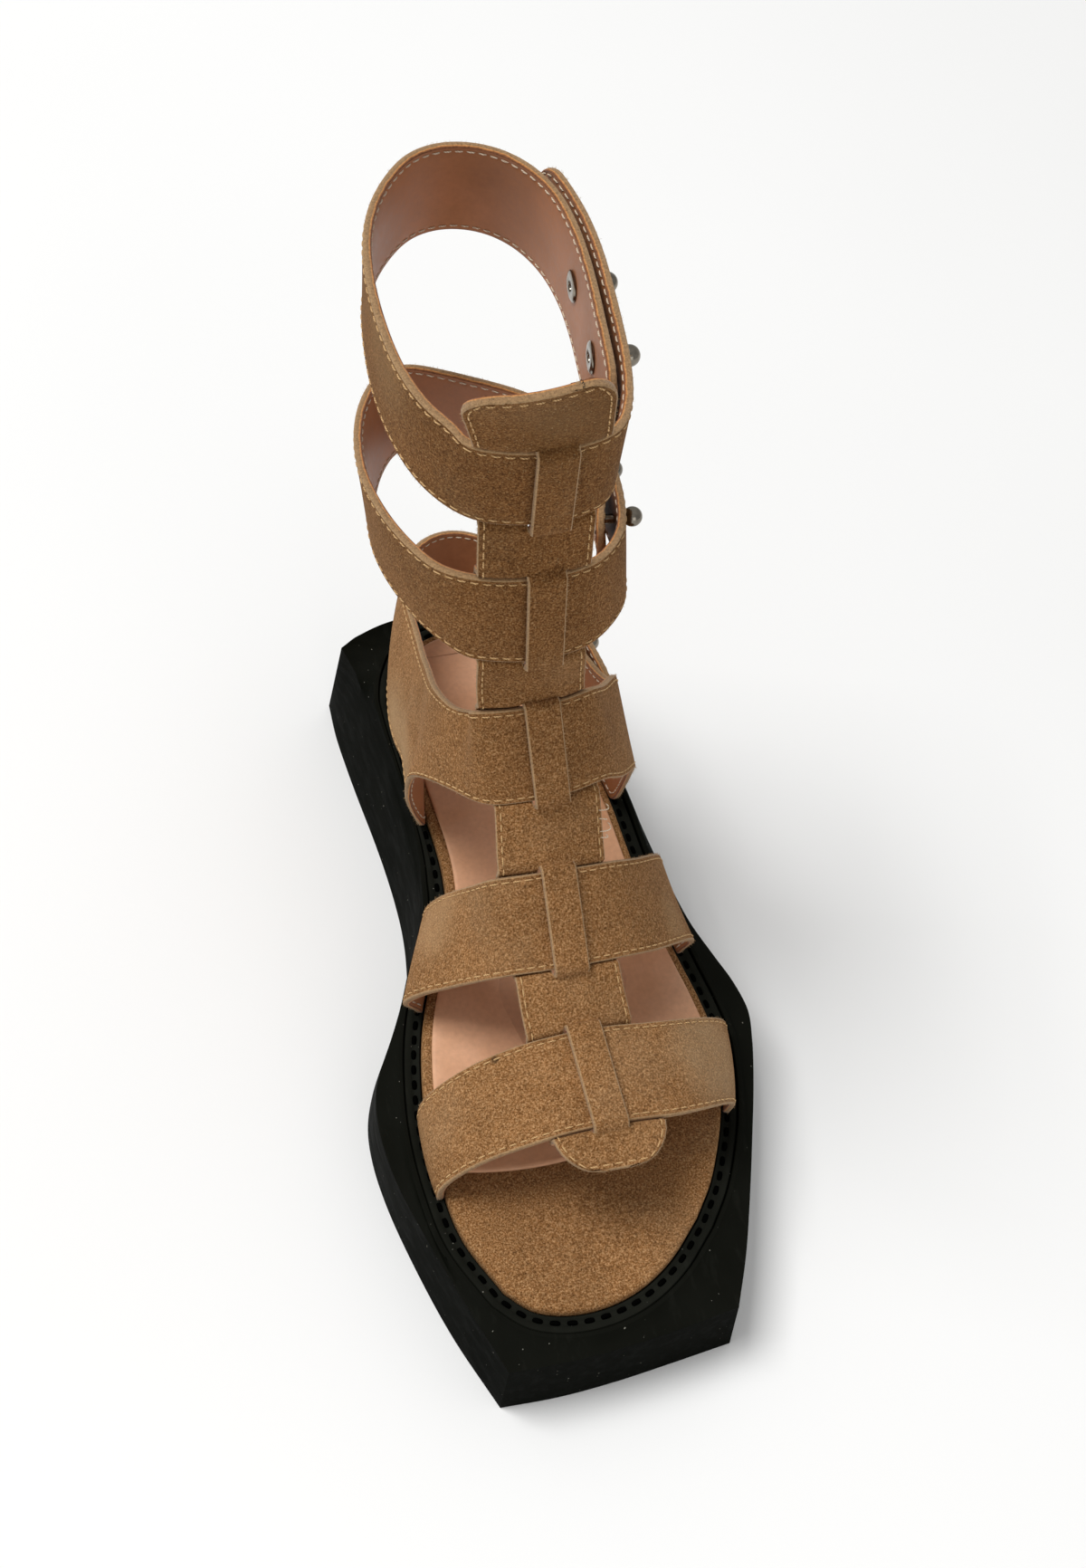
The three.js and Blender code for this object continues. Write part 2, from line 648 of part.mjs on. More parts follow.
// An ankle strap lies on a tilted plane through its upper edge at the tongue
function anklePoint(strap, crossing, x, y) {
  const [tiltX, tiltY] = strap.tilt;
  const front = spineFrame(crossing, 1).point;
  const point = new THREE.Vector3(x * ACROSS, y * ALONG, 0);
  point.z = front.z - tiltX * (point.x - front.x) - tiltY * (point.y - front.y);
  return point;
}

function ankleStrap(strap, crossing) {
  const [leanX, leanY] = strap.lean;
  const down = new THREE.Vector3(leanX, leanY, 1).setLength(-strap.width * RISE);
  const around = (rows) => rows.map(([x, y]) => anklePoint(strap, crossing, x, y));
  const before = around(strap.before);
  const after = around(strap.after);
  const under = (points) => points.map((p) => p.clone().add(down));
  const upper = [...before, ...underBridge(crossing, 1), ...after];
  const lower = [...under(before), ...underBridge(crossing, 0), ...under(after)];
  return strapSheet([lower, midway(lower, upper), upper], 76, [true, true]);
}

// A stud: an inside disc, a post and an outside ball, turned about its post's own axis
function studGeometry(reach) {
  const ballCentre = reach + STUD_NECK + STUD_BALL / 2;
  const profile = [
    [0, -STUD_DISC_THICKNESS], [STUD_DISC * 0.42, -STUD_DISC_THICKNESS],
    [STUD_DISC / 2, -STUD_DISC_THICKNESS * 0.5], [STUD_DISC / 2, 0],
    [STUD_POST / 2, 0], [STUD_POST / 2, reach + STUD_NECK + 0.5],
  ];
  const turns = 5;
  const start = Math.asin(STUD_POST / STUD_BALL);
  for (let i = 0; i <= turns; i += 1) {
    const angle = Math.PI - start - ((Math.PI - start) * i) / turns;
    profile.push([(STUD_BALL / 2) * Math.sin(angle), ballCentre + (STUD_BALL / 2) * Math.cos(angle)]);
  }
  profile.at(-1)[0] = 0;
  const points = profile.map(([r, z]) => new THREE.Vector2(r, z));
  return new THREE.LatheGeometry(points, 12);
}

function holeGeometry() {
  return new THREE.CylinderGeometry(STUD_POST / 2 + GAP, STUD_POST / 2 + GAP, STUD_BALL * 4, 12);
}

const UP = new THREE.Vector3(0, 1, 0);

function aimed(geometry, axis, base, out) {
  const turn = new THREE.Quaternion().setFromUnitVectors(axis, out);
  return geometry.applyQuaternion(turn).translate(base.x, base.y, base.z);
}

function toManifold(source) {
  const bare = source.clone();
  bare.deleteAttribute('normal');
  bare.deleteAttribute('uv');
  const merged = mergeVertices(bare, 1e-4);
  return new wasm.Manifold(new wasm.Mesh({
    numProp: 3,
    vertProperties: new Float32Array(merged.attributes.position.array),
    triVerts: new Uint32Array(merged.index.array),
  }));
}

function fromManifold(body) {
  const mesh = body.getMesh();
  const geometry = new THREE.BufferGeometry();
  geometry.setAttribute('position', new THREE.BufferAttribute(new Float32Array(mesh.vertProperties), 3));
  geometry.setIndex(new THREE.BufferAttribute(new Uint32Array(mesh.triVerts), 1));
  return geometry;
}

// Where a post meets its strap: square to the first face from inside the loop, and the length
// through to the last face outside
const STUD_START = 10;
function studSeat(strapGeometry, [x, y, z, turn]) {
  const angle = THREE.MathUtils.degToRad(turn);
  const level = new THREE.Vector3(Math.cos(angle), Math.sin(angle), 0);
  const body = new THREE.Mesh(strapGeometry, new THREE.MeshBasicMaterial({ side: THREE.DoubleSide }));
  const pierce = (point, toward) => {
    const start = point.clone().addScaledVector(toward, -STUD_START);
    return new THREE.Raycaster(start, toward, 0, 3 * STUD_START).intersectObject(body);
  };
  const [first] = pierce(place(x, y, z), level);
  const out = first.face.normal.clone().negate();
  const hits = pierce(first.point, out);
  const base = hits[0].point.clone().addScaledVector(out, -STUD_LIFT);
  return { base, out, through: hits.at(-1).distance - hits[0].distance + STUD_LIFT };
}

// A strap with a hole through its layers at each stud, and its studs
function fastened(name, geometry) {
  const seats = STUDS[name].map((row) => studSeat(geometry, row));
  const body = seats.reduce((rest, { base, out }) =>
    rest.subtract(toManifold(aimed(holeGeometry(), UP, base, out))), toManifold(geometry));
  const studs = seats.map(({ base, out, through }) => aimed(studGeometry(through), UP, base, out));
  return { strap: fromManifold(body), studs };
}

const group = new THREE.Group();
const shoe = new THREE.Group();
shoe.position.set(-MIDDLE_X, -MIDDLE_Y, 0);
group.add(shoe);

function addPiece(name, geometry, finish) {
  const mesh = new THREE.Mesh(geometry, finish);
  mesh.name = name;
  shoe.add(mesh);
}

const closures = {
  quarter: ['quarter_strap', quarter()],
  lower: ['lower_ankle_strap', ankleStrap(LOWER_ANKLE, CROSSINGS.lowerAnkle)],
  top: ['top_ankle_strap', ankleStrap(TOP_ANKLE, CROSSINGS.topAnkle)],
};

addPiece('outsole', outsole(), RUBBER);
addPiece('welt', welt(), WELT_BLACK);
addPiece('insole', insole(), SUEDE);
addPiece('sock', sock(), SOCK_LEATHER);
addPiece('tongue', tongue(), SUEDE);
addPiece('toe_strap', footStrap('toe'), SUEDE);
addPiece('instep_strap', footStrap('instep'), SUEDE);
for (const [name, [node, geometry]] of Object.entries(closures)) {
  const { strap, studs } = fastened(name, geometry);
  addPiece(node, strap, SUEDE);
  studs.forEach((body, i) => addPiece(`stud_${name}_${i + 1}`, body, NICKEL));
}

export default group;
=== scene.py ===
import math
import bmesh
import bpy
import numpy as np
from mathutils import Matrix, Vector
from mathutils.bvhtree import BVHTree


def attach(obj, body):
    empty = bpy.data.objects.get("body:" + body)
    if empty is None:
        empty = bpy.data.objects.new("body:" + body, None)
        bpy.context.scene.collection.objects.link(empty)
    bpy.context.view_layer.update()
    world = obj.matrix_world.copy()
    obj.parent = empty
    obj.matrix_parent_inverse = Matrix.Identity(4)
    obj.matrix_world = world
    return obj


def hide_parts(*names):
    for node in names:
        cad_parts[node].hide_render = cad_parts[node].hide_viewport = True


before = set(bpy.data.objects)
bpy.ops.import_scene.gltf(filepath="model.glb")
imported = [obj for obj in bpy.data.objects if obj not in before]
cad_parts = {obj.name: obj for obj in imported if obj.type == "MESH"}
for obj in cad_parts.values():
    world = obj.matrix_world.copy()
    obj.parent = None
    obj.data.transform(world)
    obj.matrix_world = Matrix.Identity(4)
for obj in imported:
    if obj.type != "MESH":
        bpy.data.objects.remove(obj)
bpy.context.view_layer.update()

# Left gladiator sandal: a tongue and five straps of suede on a chiselled black sole. Sizes and places
# are millimetres in the model's own corner frame, until make_object turns them into metres.

# Camera and light

MM = 0.001
# The camera, solved from the outlines of the sole and the straps: its place in metres, its look and
# right directions, and in photograph pixels the focal length and the shoe's middle, to the right of
# and above the look direction
CAMERA_PLACE = Vector((-0.1363, -0.2948, 0.4917))
CAMERA_LOOK = Vector((0.0978, 0.6516, -0.7522))
CAMERA_RIGHT = Vector((0.9889, -0.1484, 0.0))
PHOTO_FOCAL = 1490.3
PHOTO_AIM = (254, -66)
PHOTO_HEIGHT = 1732
SENSOR_HEIGHT = 36
# How much longer the lens is than the photograph's, so that the one shoe fills the picture
CLOSER = 1.3


def add_camera():
    """Stand the camera where the photograph was taken and turn it the least way to face the shoe."""
    look = CAMERA_LOOK.normalized()
    right = (CAMERA_RIGHT - look * CAMERA_RIGHT.dot(look)).normalized()
    up = right.cross(look)
    aim = (look + right * PHOTO_AIM[0] / PHOTO_FOCAL + up * PHOTO_AIM[1] / PHOTO_FOCAL).normalized()
    turn = look.rotation_difference(aim)
    base = Matrix((right, up, -look)).transposed().to_quaternion()
    data = bpy.data.cameras.new("camera")
    data.sensor_fit = "VERTICAL"
    data.sensor_height = SENSOR_HEIGHT
    data.lens = SENSOR_HEIGHT * PHOTO_FOCAL * CLOSER / PHOTO_HEIGHT
    data.clip_start = 0.01
    camera = bpy.data.objects.new("camera", data)
    camera.matrix_world = Matrix.Translation(CAMERA_PLACE) @ (turn @ base).to_matrix().to_4x4()
    bpy.context.scene.collection.objects.link(camera)
    bpy.context.scene.camera = camera


def add_light(name, place, target, size, power):
    """Add a square soft box that faces a point."""
    data = bpy.data.lights.new(name, "AREA")
    data.size = size
    data.energy = power
    lamp = bpy.data.objects.new(name, data)
    aim = (Vector(target) - Vector(place)).to_track_quat("-Z", "Y")
    lamp.matrix_world = Matrix.Translation(place) @ aim.to_matrix().to_4x4()
    bpy.context.scene.collection.objects.link(lamp)


add_camera()
# A large soft box high on the inner side, a little behind, and a weak fill low in front
add_light("key", (-1.8, 0.7, 3.7), (0, 0, 0.05), 1.9, 130)
add_light("fill", (0.15, -1.7, 0.55), (0, 0, 0.13), 1.0, 4.6)
world = bpy.data.worlds.new("studio")
world.use_nodes = True
world.node_tree.nodes["Background"].inputs["Color"].default_value = (1, 1, 1, 1)
world.node_tree.nodes["Background"].inputs["Strength"].default_value = 0.46
bpy.context.scene.world = world
bpy.context.scene.view_settings.view_transform = "Standard"
bpy.context.scene.view_settings.look = "None"

# Materials


def linear(code):
    """Turn an sRGB hex code into a linear colour."""
    parts = [int(code[i:i + 2], 16) / 255 for i in (1, 3, 5)]
    return [p / 12.92 if p <= 0.04045 else ((p + 0.055) / 1.055) ** 2.4 for p in parts] + [1.0]


def add_node(tree, kind, inputs=None, **settings):
    """Add a shader node, set its properties and its input sockets, which may be links."""
    node = tree.nodes.new(kind)
    for key, value in settings.items():
        setattr(node, key, value)
    for key, value in (inputs or {}).items():
        if isinstance(value, bpy.types.NodeSocket):
            tree.links.new(value, node.inputs[key])
        else:
            node.inputs[key].default_value = value
    return node


def ramp(tree, source, stops):
    """Map a number to a colour or grey by stops of place and colour."""
    node = add_node(tree, "ShaderNodeValToRGB", {"Fac": source})
    band = node.color_ramp
    while len(band.elements) < len(stops):
        band.elements.new(0.5)
    for element, (place, color) in zip(band.elements, stops):
        element.position = place
        element.color = linear(color) if isinstance(color, str) else (color, color, color, 1)
    return node.outputs["Color"]


def blend(tree, mode, amount, a, b):
    """Mix two colours with a blend mode."""
    node = add_node(tree, "ShaderNodeMix", {0: amount, 6: a, 7: b}, data_type="RGBA", blend_type=mode)
    return node.outputs[2]


def noise(tree, place, size_mm, detail=3.0, rough=0.55):
    """Noise whose cells are about a size in millimetres."""
    node = add_node(tree, "ShaderNodeTexNoise",
                    {"Vector": place, "Scale": 1000 / size_mm, "Detail": detail, "Roughness": rough})
    return node.outputs["Fac"]


def bump(tree, height, depth_mm, normal=None, strength=1.0):
    """Bump a surface by a height field of a depth in millimetres."""
    inputs = {"Height": height, "Distance": depth_mm * MM, "Strength": strength}
    if normal is not None:
        inputs["Normal"] = normal
    return add_node(tree, "ShaderNodeBump", inputs).outputs["Normal"]


def begin(name):
    """Start a material with a shader and object coordinates."""
    material = bpy.data.materials.new(name)
    material.use_nodes = True
    tree = material.node_tree
    shader = tree.nodes["Principled BSDF"]
    place = add_node(tree, "ShaderNodeTexCoord").outputs["Object"]
    return material, tree, shader, place


def finish_material(tree, shader, values):
    """Set or link the shader's sockets."""
    for key, value in values.items():
        if isinstance(value, bpy.types.NodeSocket):
            tree.links.new(value, shader.inputs[key])
        else:
            shader.inputs[key].default_value = value


# Places of the suede tinted lighter or darker: place in the part's frame in mm, radius in mm, colour,
# amount
SUEDE_MARKS = [
    ((-30.8, -61.1, 58.6), 1.7, "#2c1e12", 0.8), ((36, -67, 49), 24, "#b49c7a", 0.35),
    ((-36.6, -11, 58), 17, "#ad8c66", 0.35), ((-31.5, 66, 48), 30, "#b09470", 0.4),
    ((34.8, -24, 59.6), 12, "#a88d6a", 0.25), ((-52, 36, 233), 22, "#8f7350", 0.3),
    ((-18, -6, 243), 26, "#604426", 0.45),
]


def mark(tree, place, color, centre, radius, tint, amount):
    """Tint a colour round a place, fading to nothing at a radius and broken up by noise."""
    middle = tuple(c * MM for c in centre)
    away = add_node(tree, "ShaderNodeVectorMath", {0: place, 1: middle}, operation="DISTANCE")
    fade = {0: away.outputs["Value"], 1: 0.3 * radius * MM, 2: radius * MM, 3: amount, 4: 0.0}
    near = add_node(tree, "ShaderNodeMapRange", fade, interpolation_type="SMOOTHSTEP").outputs[0]
    patchy = add_node(tree, "ShaderNodeMath", {0: noise(tree, place, radius * 0.4), 1: 1.2, 2: 0.35},
                      operation="MULTIPLY_ADD").outputs[0]
    share = add_node(tree, "ShaderNodeMath", {0: near, 1: patchy}, operation="MULTIPLY").outputs[0]
    return blend(tree, "MIX", share, color, linear(tint))


def suede(name, dark, middle, light):
    """Brushed suede: short fibres in clumps, a speckled nap and a dusty sheen.

    It is darkened with height by painted shade, from the foot to the top of the ankle.
    """
    material, tree, shader, place = begin(name)
    # Real fibres are far below 0.1 mm thick, so the nap is drawn as tufts of 0.55 mm to show at all
    patches = noise(tree, place, 18, 3)
    clumps = noise(tree, place, 1.4, 4, 0.7)
    nap = noise(tree, place, 0.55, 4, 0.85)
    fleck = noise(tree, place, 0.5, 2, 0.5)
    rubbed = ramp(tree, noise(tree, place, 42, 3), [(0.54, "#000000"), (0.7, "#585858")])
    tone = ramp(tree, nap, [(0.36, dark), (0.5, middle), (0.64, light)])
    wide = ramp(tree, patches, [(0.35, "#e6e6e6"), (0.65, "#ffffff")])
    fine = ramp(tree, clumps, [(0.38, "#c4c4c4"), (0.62, "#ffffff")])
    color = blend(tree, "MULTIPLY", 0.7, tone, wide)
    color = blend(tree, "MULTIPLY", 0.6, color, fine)
    # Painted shade: the suede is multiplied darker with height, from the foot to the top of the ankle
    high = add_node(tree, "ShaderNodeSeparateXYZ", {0: place}).outputs["Z"]
    painted_height_shade = add_node(tree, "ShaderNodeMapRange", {0: high, 1: 0.06, 2: 0.2, 3: 0.0, 4: 1.0}).outputs[0]
    color = blend(tree, "MULTIPLY", painted_height_shade, color, linear("#cfc5b4"))
    color = blend(tree, "MIX", rubbed, color, linear("#b59c7a"))
    for centre, radius, tint, amount in SUEDE_MARKS:
        color = mark(tree, place, color, centre, radius, tint, amount)
    spots = ramp(tree, fleck, [(0.62, "#000000"), (0.72, "#ffffff")])
    spots = blend(tree, "MULTIPLY", 1.0, spots, (0.35, 0.35, 0.35, 1))
    color = blend(tree, "MIX", spots, color, linear("#c6a77a"))
    relief = bump(tree, nap, 0.2, strength=0.9)
    relief = bump(tree, clumps, 0.2, relief, 0.5)
    finish_material(tree, shader, {
        "Base Color": color, "Roughness": 0.93, "Normal": relief, "Specular IOR Level": 0.12,
        "Sheen Weight": 0.08, "Sheen Roughness": 0.45, "Sheen Tint": linear("#d0a878"),
    })
    return material


def lining_leather(name, dark, light, matte):
    """Smooth lining leather: fine pores, faint wrinkles, slightly uneven dye."""
    material, tree, shader, place = begin(name)
    dye = noise(tree, place, 22, 3)
    # Real pores are about 0.2 mm apart and are drawn wider to show
    cells = add_node(tree, "ShaderNodeTexVoronoi", {"Vector": place, "Scale": 1000 / 0.55})
    pores = cells.outputs["Distance"]
    wrinkle = noise(tree, place, 1.6, 4, 0.6)
    color = ramp(tree, dye, [(0.3, dark), (0.7, light)])
    speck = ramp(tree, wrinkle, [(0.3, "#e6e6e6"), (0.7, "#ffffff")])
    color = blend(tree, "MULTIPLY", 0.6, color, speck)
    relief = bump(tree, pores, 0.03, strength=0.5)
    relief = bump(tree, wrinkle, 0.06, relief, 0.5)
    rough = ramp(tree, wrinkle, [(0.3, matte - 0.06), (0.7, matte + 0.08)])
    finish_material(tree, shader, {
        "Base Color": color, "Roughness": rough, "Normal": relief, "Specular IOR Level": 0.4,
    })
    return material


def cut_edge(name):
    """Raw strap edge: fuzzy beige split leather outside, a thin orange line and the lining inside.

    The place between the faces is half plus half the level, moved a little by noise.
    """
    material, tree, shader, place = begin(name)
    level = add_node(tree, "ShaderNodeAttribute", attribute_name="level").outputs["Fac"]
    fuzz = noise(tree, place, 0.6, 4, 0.7)
    wave = noise(tree, place, 3.0, 2)
    uneven = add_node(tree, "ShaderNodeMath", {0: wave, 1: 0.3, 2: 0.35}, operation="MULTIPLY_ADD")
    share = add_node(tree, "ShaderNodeMath", {0: level, 1: 0.5, 2: uneven.outputs[0]},
                     operation="MULTIPLY_ADD")
    layers = ramp(tree, share.outputs[0], [
        (0.0, "#85583c"), (0.12, "#946242"), (0.18, "#cf8a4e"), (0.27, "#cc965f"), (0.38, "#a07e5a"),
        (1.0, "#b49168"),
    ])
    grain = ramp(tree, fuzz, [(0.3, "#9c9c9c"), (0.65, "#ffffff")])
    color = blend(tree, "MULTIPLY", 0.8, layers, grain)
    finish_material(tree, shader, {
        "Base Color": color, "Roughness": 0.95, "Normal": bump(tree, fuzz, 0.25, strength=0.9),
        "Specular IOR Level": 0.12, "Sheen Weight": 0.15, "Sheen Roughness": 0.5,
    })
    return material


def thread(name, dark, light, gloss=0.3):
    """Twisted sewing thread: diagonal ply, drawn coarser than the real 0.4 mm to show."""
    material, tree, shader, place = begin(name)
    ply = add_node(tree, "ShaderNodeTexWave", {"Vector": place, "Scale": 1000 / 1.1, "Distortion": 2.0},
                   bands_direction="DIAGONAL").outputs["Fac"]
    finish_material(tree, shader, {
        "Base Color": ramp(tree, ply, [(0.2, dark), (0.8, light)]),
        "Roughness": 0.75,
        "Specular IOR Level": gloss,
        "Normal": bump(tree, ply, 0.05, strength=0.6),
    })
    return material


def sole_rubber(name, base, dusty, depth):
    """Matte moulded rubber: satin black, with rubbed dusty patches, fine pits and specks of lint."""
    material, tree, shader, place = begin(name)
    cloud = noise(tree, place, 26, 5, 0.6)
    drawn = add_node(tree, "ShaderNodeMapping", {"Vector": place, "Scale": (1, 0.25, 1)}).outputs[0]
    rub = noise(tree, drawn, 3.5, 4, 0.65)
    pits = noise(tree, place, 0.9, 3, 0.6)
    lint = noise(tree, place, 1.0, 1, 0.4)
    color = ramp(tree, cloud, [(0.35, base), (0.72, dusty)])
    streak = ramp(tree, rub, [(0.56, "#000000"), (0.74, "#ffffff")])
    streak = blend(tree, "MULTIPLY", 1.0, streak, (0.014, 0.014, 0.014, 1))
    color = blend(tree, "SCREEN", streak, color, linear("#8c8c82"))
    specks = ramp(tree, lint, [(0.79, "#000000"), (0.81, "#ffffff")])
    color = blend(tree, "MIX", specks, color, linear("#77756c"))
    # Painted sheen: faces that look up are mixed towards a lighter grey, as if lit from above
    facing = add_node(tree, "ShaderNodeTexCoord").outputs["Normal"]
    upward = add_node(tree, "ShaderNodeSeparateXYZ", {0: facing}).outputs["Z"]
    painted_top_sheen = ramp(tree, upward, [(0.4, "#000000"), (1.0, "#262626")])
    color = blend(tree, "MIX", painted_top_sheen, color, linear("#7d7d72"))
    relief = bump(tree, pits, depth, strength=0.6)
    relief = bump(tree, cloud, 0.3, relief, 0.3)
    rough = ramp(tree, rub, [(0.35, 0.55), (0.7, 0.75)])
    finish_material(tree, shader, {
        "Base Color": color, "Roughness": rough, "Normal": relief, "Specular IOR Level": 0.012,
    })
    return material


def nickel(name):
    """Polished nickel with a colour kept dark as a painted reflection of dark surroundings: faint turning
    marks and handling smears.
    """
    material, tree, shader, place = begin(name)
    smear = noise(tree, place, 2.4, 3)
    fine = noise(tree, place, 0.25, 2)
    finish_material(tree, shader, {
        # Painted reflection: the dark base colour stands for dark surroundings mirrored in the studs
        "Base Color": ramp(tree, smear, [(0.3, "#6f695f"), (0.7, "#938b7e")]), "Metallic": 1.0,
        "Roughness": ramp(tree, smear, [(0.3, 0.12), (0.7, 0.26)]),
        "Normal": bump(tree, fine, 0.01, strength=0.3),
    })
    return material


def studio_floor(name):
    """Seamless pale paper with a barely uneven tone."""
    material, tree, shader, place = begin(name)
    cloud = noise(tree, place, 700, 2)
    finish_material(tree, shader, {
        "Base Color": ramp(tree, cloud, [(0.3, "#efefee"), (0.7, "#f4f4f3")]), "Roughness": 0.9,
        "Specular IOR Level": 0.2,
    })
    return material


# One hide for the straps, the tongue and the wrap of the insole
SUEDE = suede("olive_tan_suede", "#56361a", "#95673b", "#d0a576")
LINING = lining_leather("brown_strap_lining", "#9a6540", "#b07650", 0.5)
EDGE = cut_edge("raw_strap_edge")
SOCK = lining_leather("pink_tan_sock_leather", "#d09a72", "#dfab86", 0.55)
GOLD_THREAD = thread("golden_tan_thread", "#a27c4b", "#dab583")
CREAM_THREAD = thread("cream_thread", "#b09a80", "#e4d6c0")
# The welt thread is near-black, partly its own colour and partly painted shade of the stitch holes
BLACK_THREAD = thread("black_thread_painted_hole_shade", "#020202", "#060605", 0.0)
FIBRE = thread("loose_suede_fibre", "#9c7a54", "#cdac84", 0.1)
SOLE = sole_rubber("black_moulded_rubber", "#050603", "#0c0d09", 0.04)
WELT = sole_rubber("black_welt_rubber", "#0f100c", "#1b1c17", 0.08)
METAL = nickel("polished_nickel_painted_dark_reflection")
FLOOR = studio_floor("pale_studio_paper")

# Sizes of the model, in millimetres

# Sole
SOLE_LENGTH = 278.0
SOLE_WIDTH = 124.3
TOE_HEIGHT = 27.7
HEEL_HEIGHT = 47.7
TOE_WALL = 24.3
HEEL_WALL = 48.6
WELT_WIDTH = 5.2
WELT_THICKNESS = 2.6
INSOLE_LIP = 2.6
INSOLE_THICKNESS = 5.6
SOCK_MARGIN = 3.0
RIM_WIDTH = 1.8
RIM_RISE = 0.9
# Share of the room between insole and crease that the welt and the raised rim may take
WELT_ROOM = 0.52
RIM_ROOM = 0.72

# Upper
UPPER_HEIGHT = 257.0
STRAP_THICKNESS = 2.2
TONGUE_THICKNESS = 2.2
# Mean widths, which place the stitches and round the tips
FOOT_STRAP_WIDTH = 29
QUARTER_WIDTH = 30
LOWER_ANKLE_WIDTH = 30.5
TOP_ANKLE_WIDTH = 28.3
BRIDGE_WIDTH = 10.2
SLIT_SLACK = 1.4
TONGUE_LIFT = 0.5
TIP_ROUND = 9.0
TAB_ROUND = 12.0
FLAP_ROUND = 9.0
QUARTER_SWELL = 1.8
FLAP_LIFT = (-1.0, 5.5)
FLAP_SHIFT = -1.2

# Studs
STUD_BALL = 5.6
STUD_POST = 2.6

# Clearances
GAP = 0.3
WEAVE_GAP = 0.5
SEAT_GAP = 0.4
STRAP_LIFT = 0.7
SLIT_MARGIN = 0.4

# Stitches: the thread presses a line into the suede, with shallow shoulders beside it
STITCH_INSET = 1.6
STITCH_PITCH = 3.2
STITCH_LENGTH = 2.25
THREAD_RADIUS = 0.23
THREAD_SINK = 0.02
STITCH_SIDES = 6
STITCH_DIP = 0.2
SHOULDER_DIP = 0.06
# How far a stitch bows and dips, in thread radii
STITCH_BOW = 1.6
# One stitch: shares of its length, of its bow and of the thread's radius
STITCH_PROFILE = np.array([(-0.5, -0.5, 0.35), (-0.4, -0.05, 0.85), (-0.15, 0.12, 1.0),
                           (0.15, 0.12, 1.0), (0.4, -0.05, 0.85), (0.5, -0.5, 0.35)])

# Places of the rows of points along an edge, from it inward, and which of them carries the stitches
EDGE_ROWS = np.array([0, 0.62, 0.9, STITCH_INSET - 0.4, STITCH_INSET, STITCH_INSET + 0.4, 3])
END_ROWS = np.array([0.58, 0.86, STITCH_INSET - 0.4, STITCH_INSET, STITCH_INSET + 0.4, 3])
TIP_ROWS = np.concatenate([END_ROWS, [4.4, 6.4, 8.6]])
STITCH_ROW = 4

# The tables below are drawn in parts: so many along and across the sole and up the upper
PARTS_ALONG = 246
PARTS_ACROSS = 110
PARTS_UP = 228
HEEL_PARTS = 43
PARTS_MIDDLE = (36.9, 122.6)
ALONG = SOLE_LENGTH / PARTS_ALONG
ACROSS = SOLE_WIDTH / PARTS_ACROSS
RISE = (UPPER_HEIGHT - HEEL_HEIGHT) / (PARTS_UP - HEEL_PARTS)
MIDDLE = np.array([PARTS_MIDDLE[0] * ACROSS, PARTS_MIDDLE[1] * ALONG, 0.0])

# Height of the insole and of the wall's crease: along, share from toe to heel
TOP_LINE = [(0, 0), (40, 0.02), (70, 0.07), (100, 0.21), (130, 0.41), (160, 0.61), (190, 0.81),
            (225, 1), (250, 1)]
CREASE_LINE = [(0, 0), (50, 0.03), (90, 0.13), (130, 0.29), (160, 0.33), (190, 0.42), (208, 0.54),
               (218, 0.78), (224, 1), (250, 1)]

# Outlines seen from above: across, along, in four runs from the inner toe corner
FLOOR_OUTLINE = [
    [(0, 0), (15, -0.5), (30, 0.2), (46, 1.8), (62.7, 3.7)],
    [(62.7, 3.7), (69, 17), (75.5, 33), (82.2, 51), (87.4, 66), (90.8, 77), (91.9, 86), (90.6, 96),
     (87.6, 106), (84.6, 117), (82, 132), (80.6, 148), (79.6, 165), (77.4, 182), (75.2, 198),
     (73.4, 212), (70.5, 238)],
    [(70.5, 238), (60, 242.5), (46, 245), (32, 245.5), (16, 242), (0, 235)],
    [(0, 235), (-0.2, 222), (0.7, 208), (2, 194), (3.5, 180), (4.6, 167), (5.2, 154), (5.1, 143),
     (4, 132), (1.6, 120.5), (-3.5, 110), (-9.6, 100.5), (-14.4, 91), (-17.3, 82), (-18.1, 72),
     (-16.9, 58.5), (-13, 39.5), (-7.6, 20), (0, 0)],
]
CREASE_OUTLINE = [
    [(0, 0.8), (15, 0.4), (30, 1.1), (46, 2.8), (60.8, 5)],
    [(60.8, 5), (67.2, 18), (73.4, 33), (80.3, 51), (85.3, 65), (88.9, 77), (90.6, 86), (89.2, 95),
     (86, 104.5), (82.3, 116), (79.6, 132), (77.9, 148), (76.9, 165), (74.4, 182), (71.8, 198),
     (69.8, 211), (67, 224)],
    [(67, 224), (57, 229), (46, 231.5), (32, 232), (15, 229), (0, 222)],
    [(0, 222), (3, 216), (4.6, 208), (5.6, 196), (6.7, 182), (7.5, 166), (7.7, 150), (6.4, 133),
     (2.2, 115), (-4.6, 101.5), (-11.6, 91), (-16.4, 81), (-18, 71), (-16.8, 56), (-12.8, 40),
     (-7, 21.5), (0, 0.8)],
]
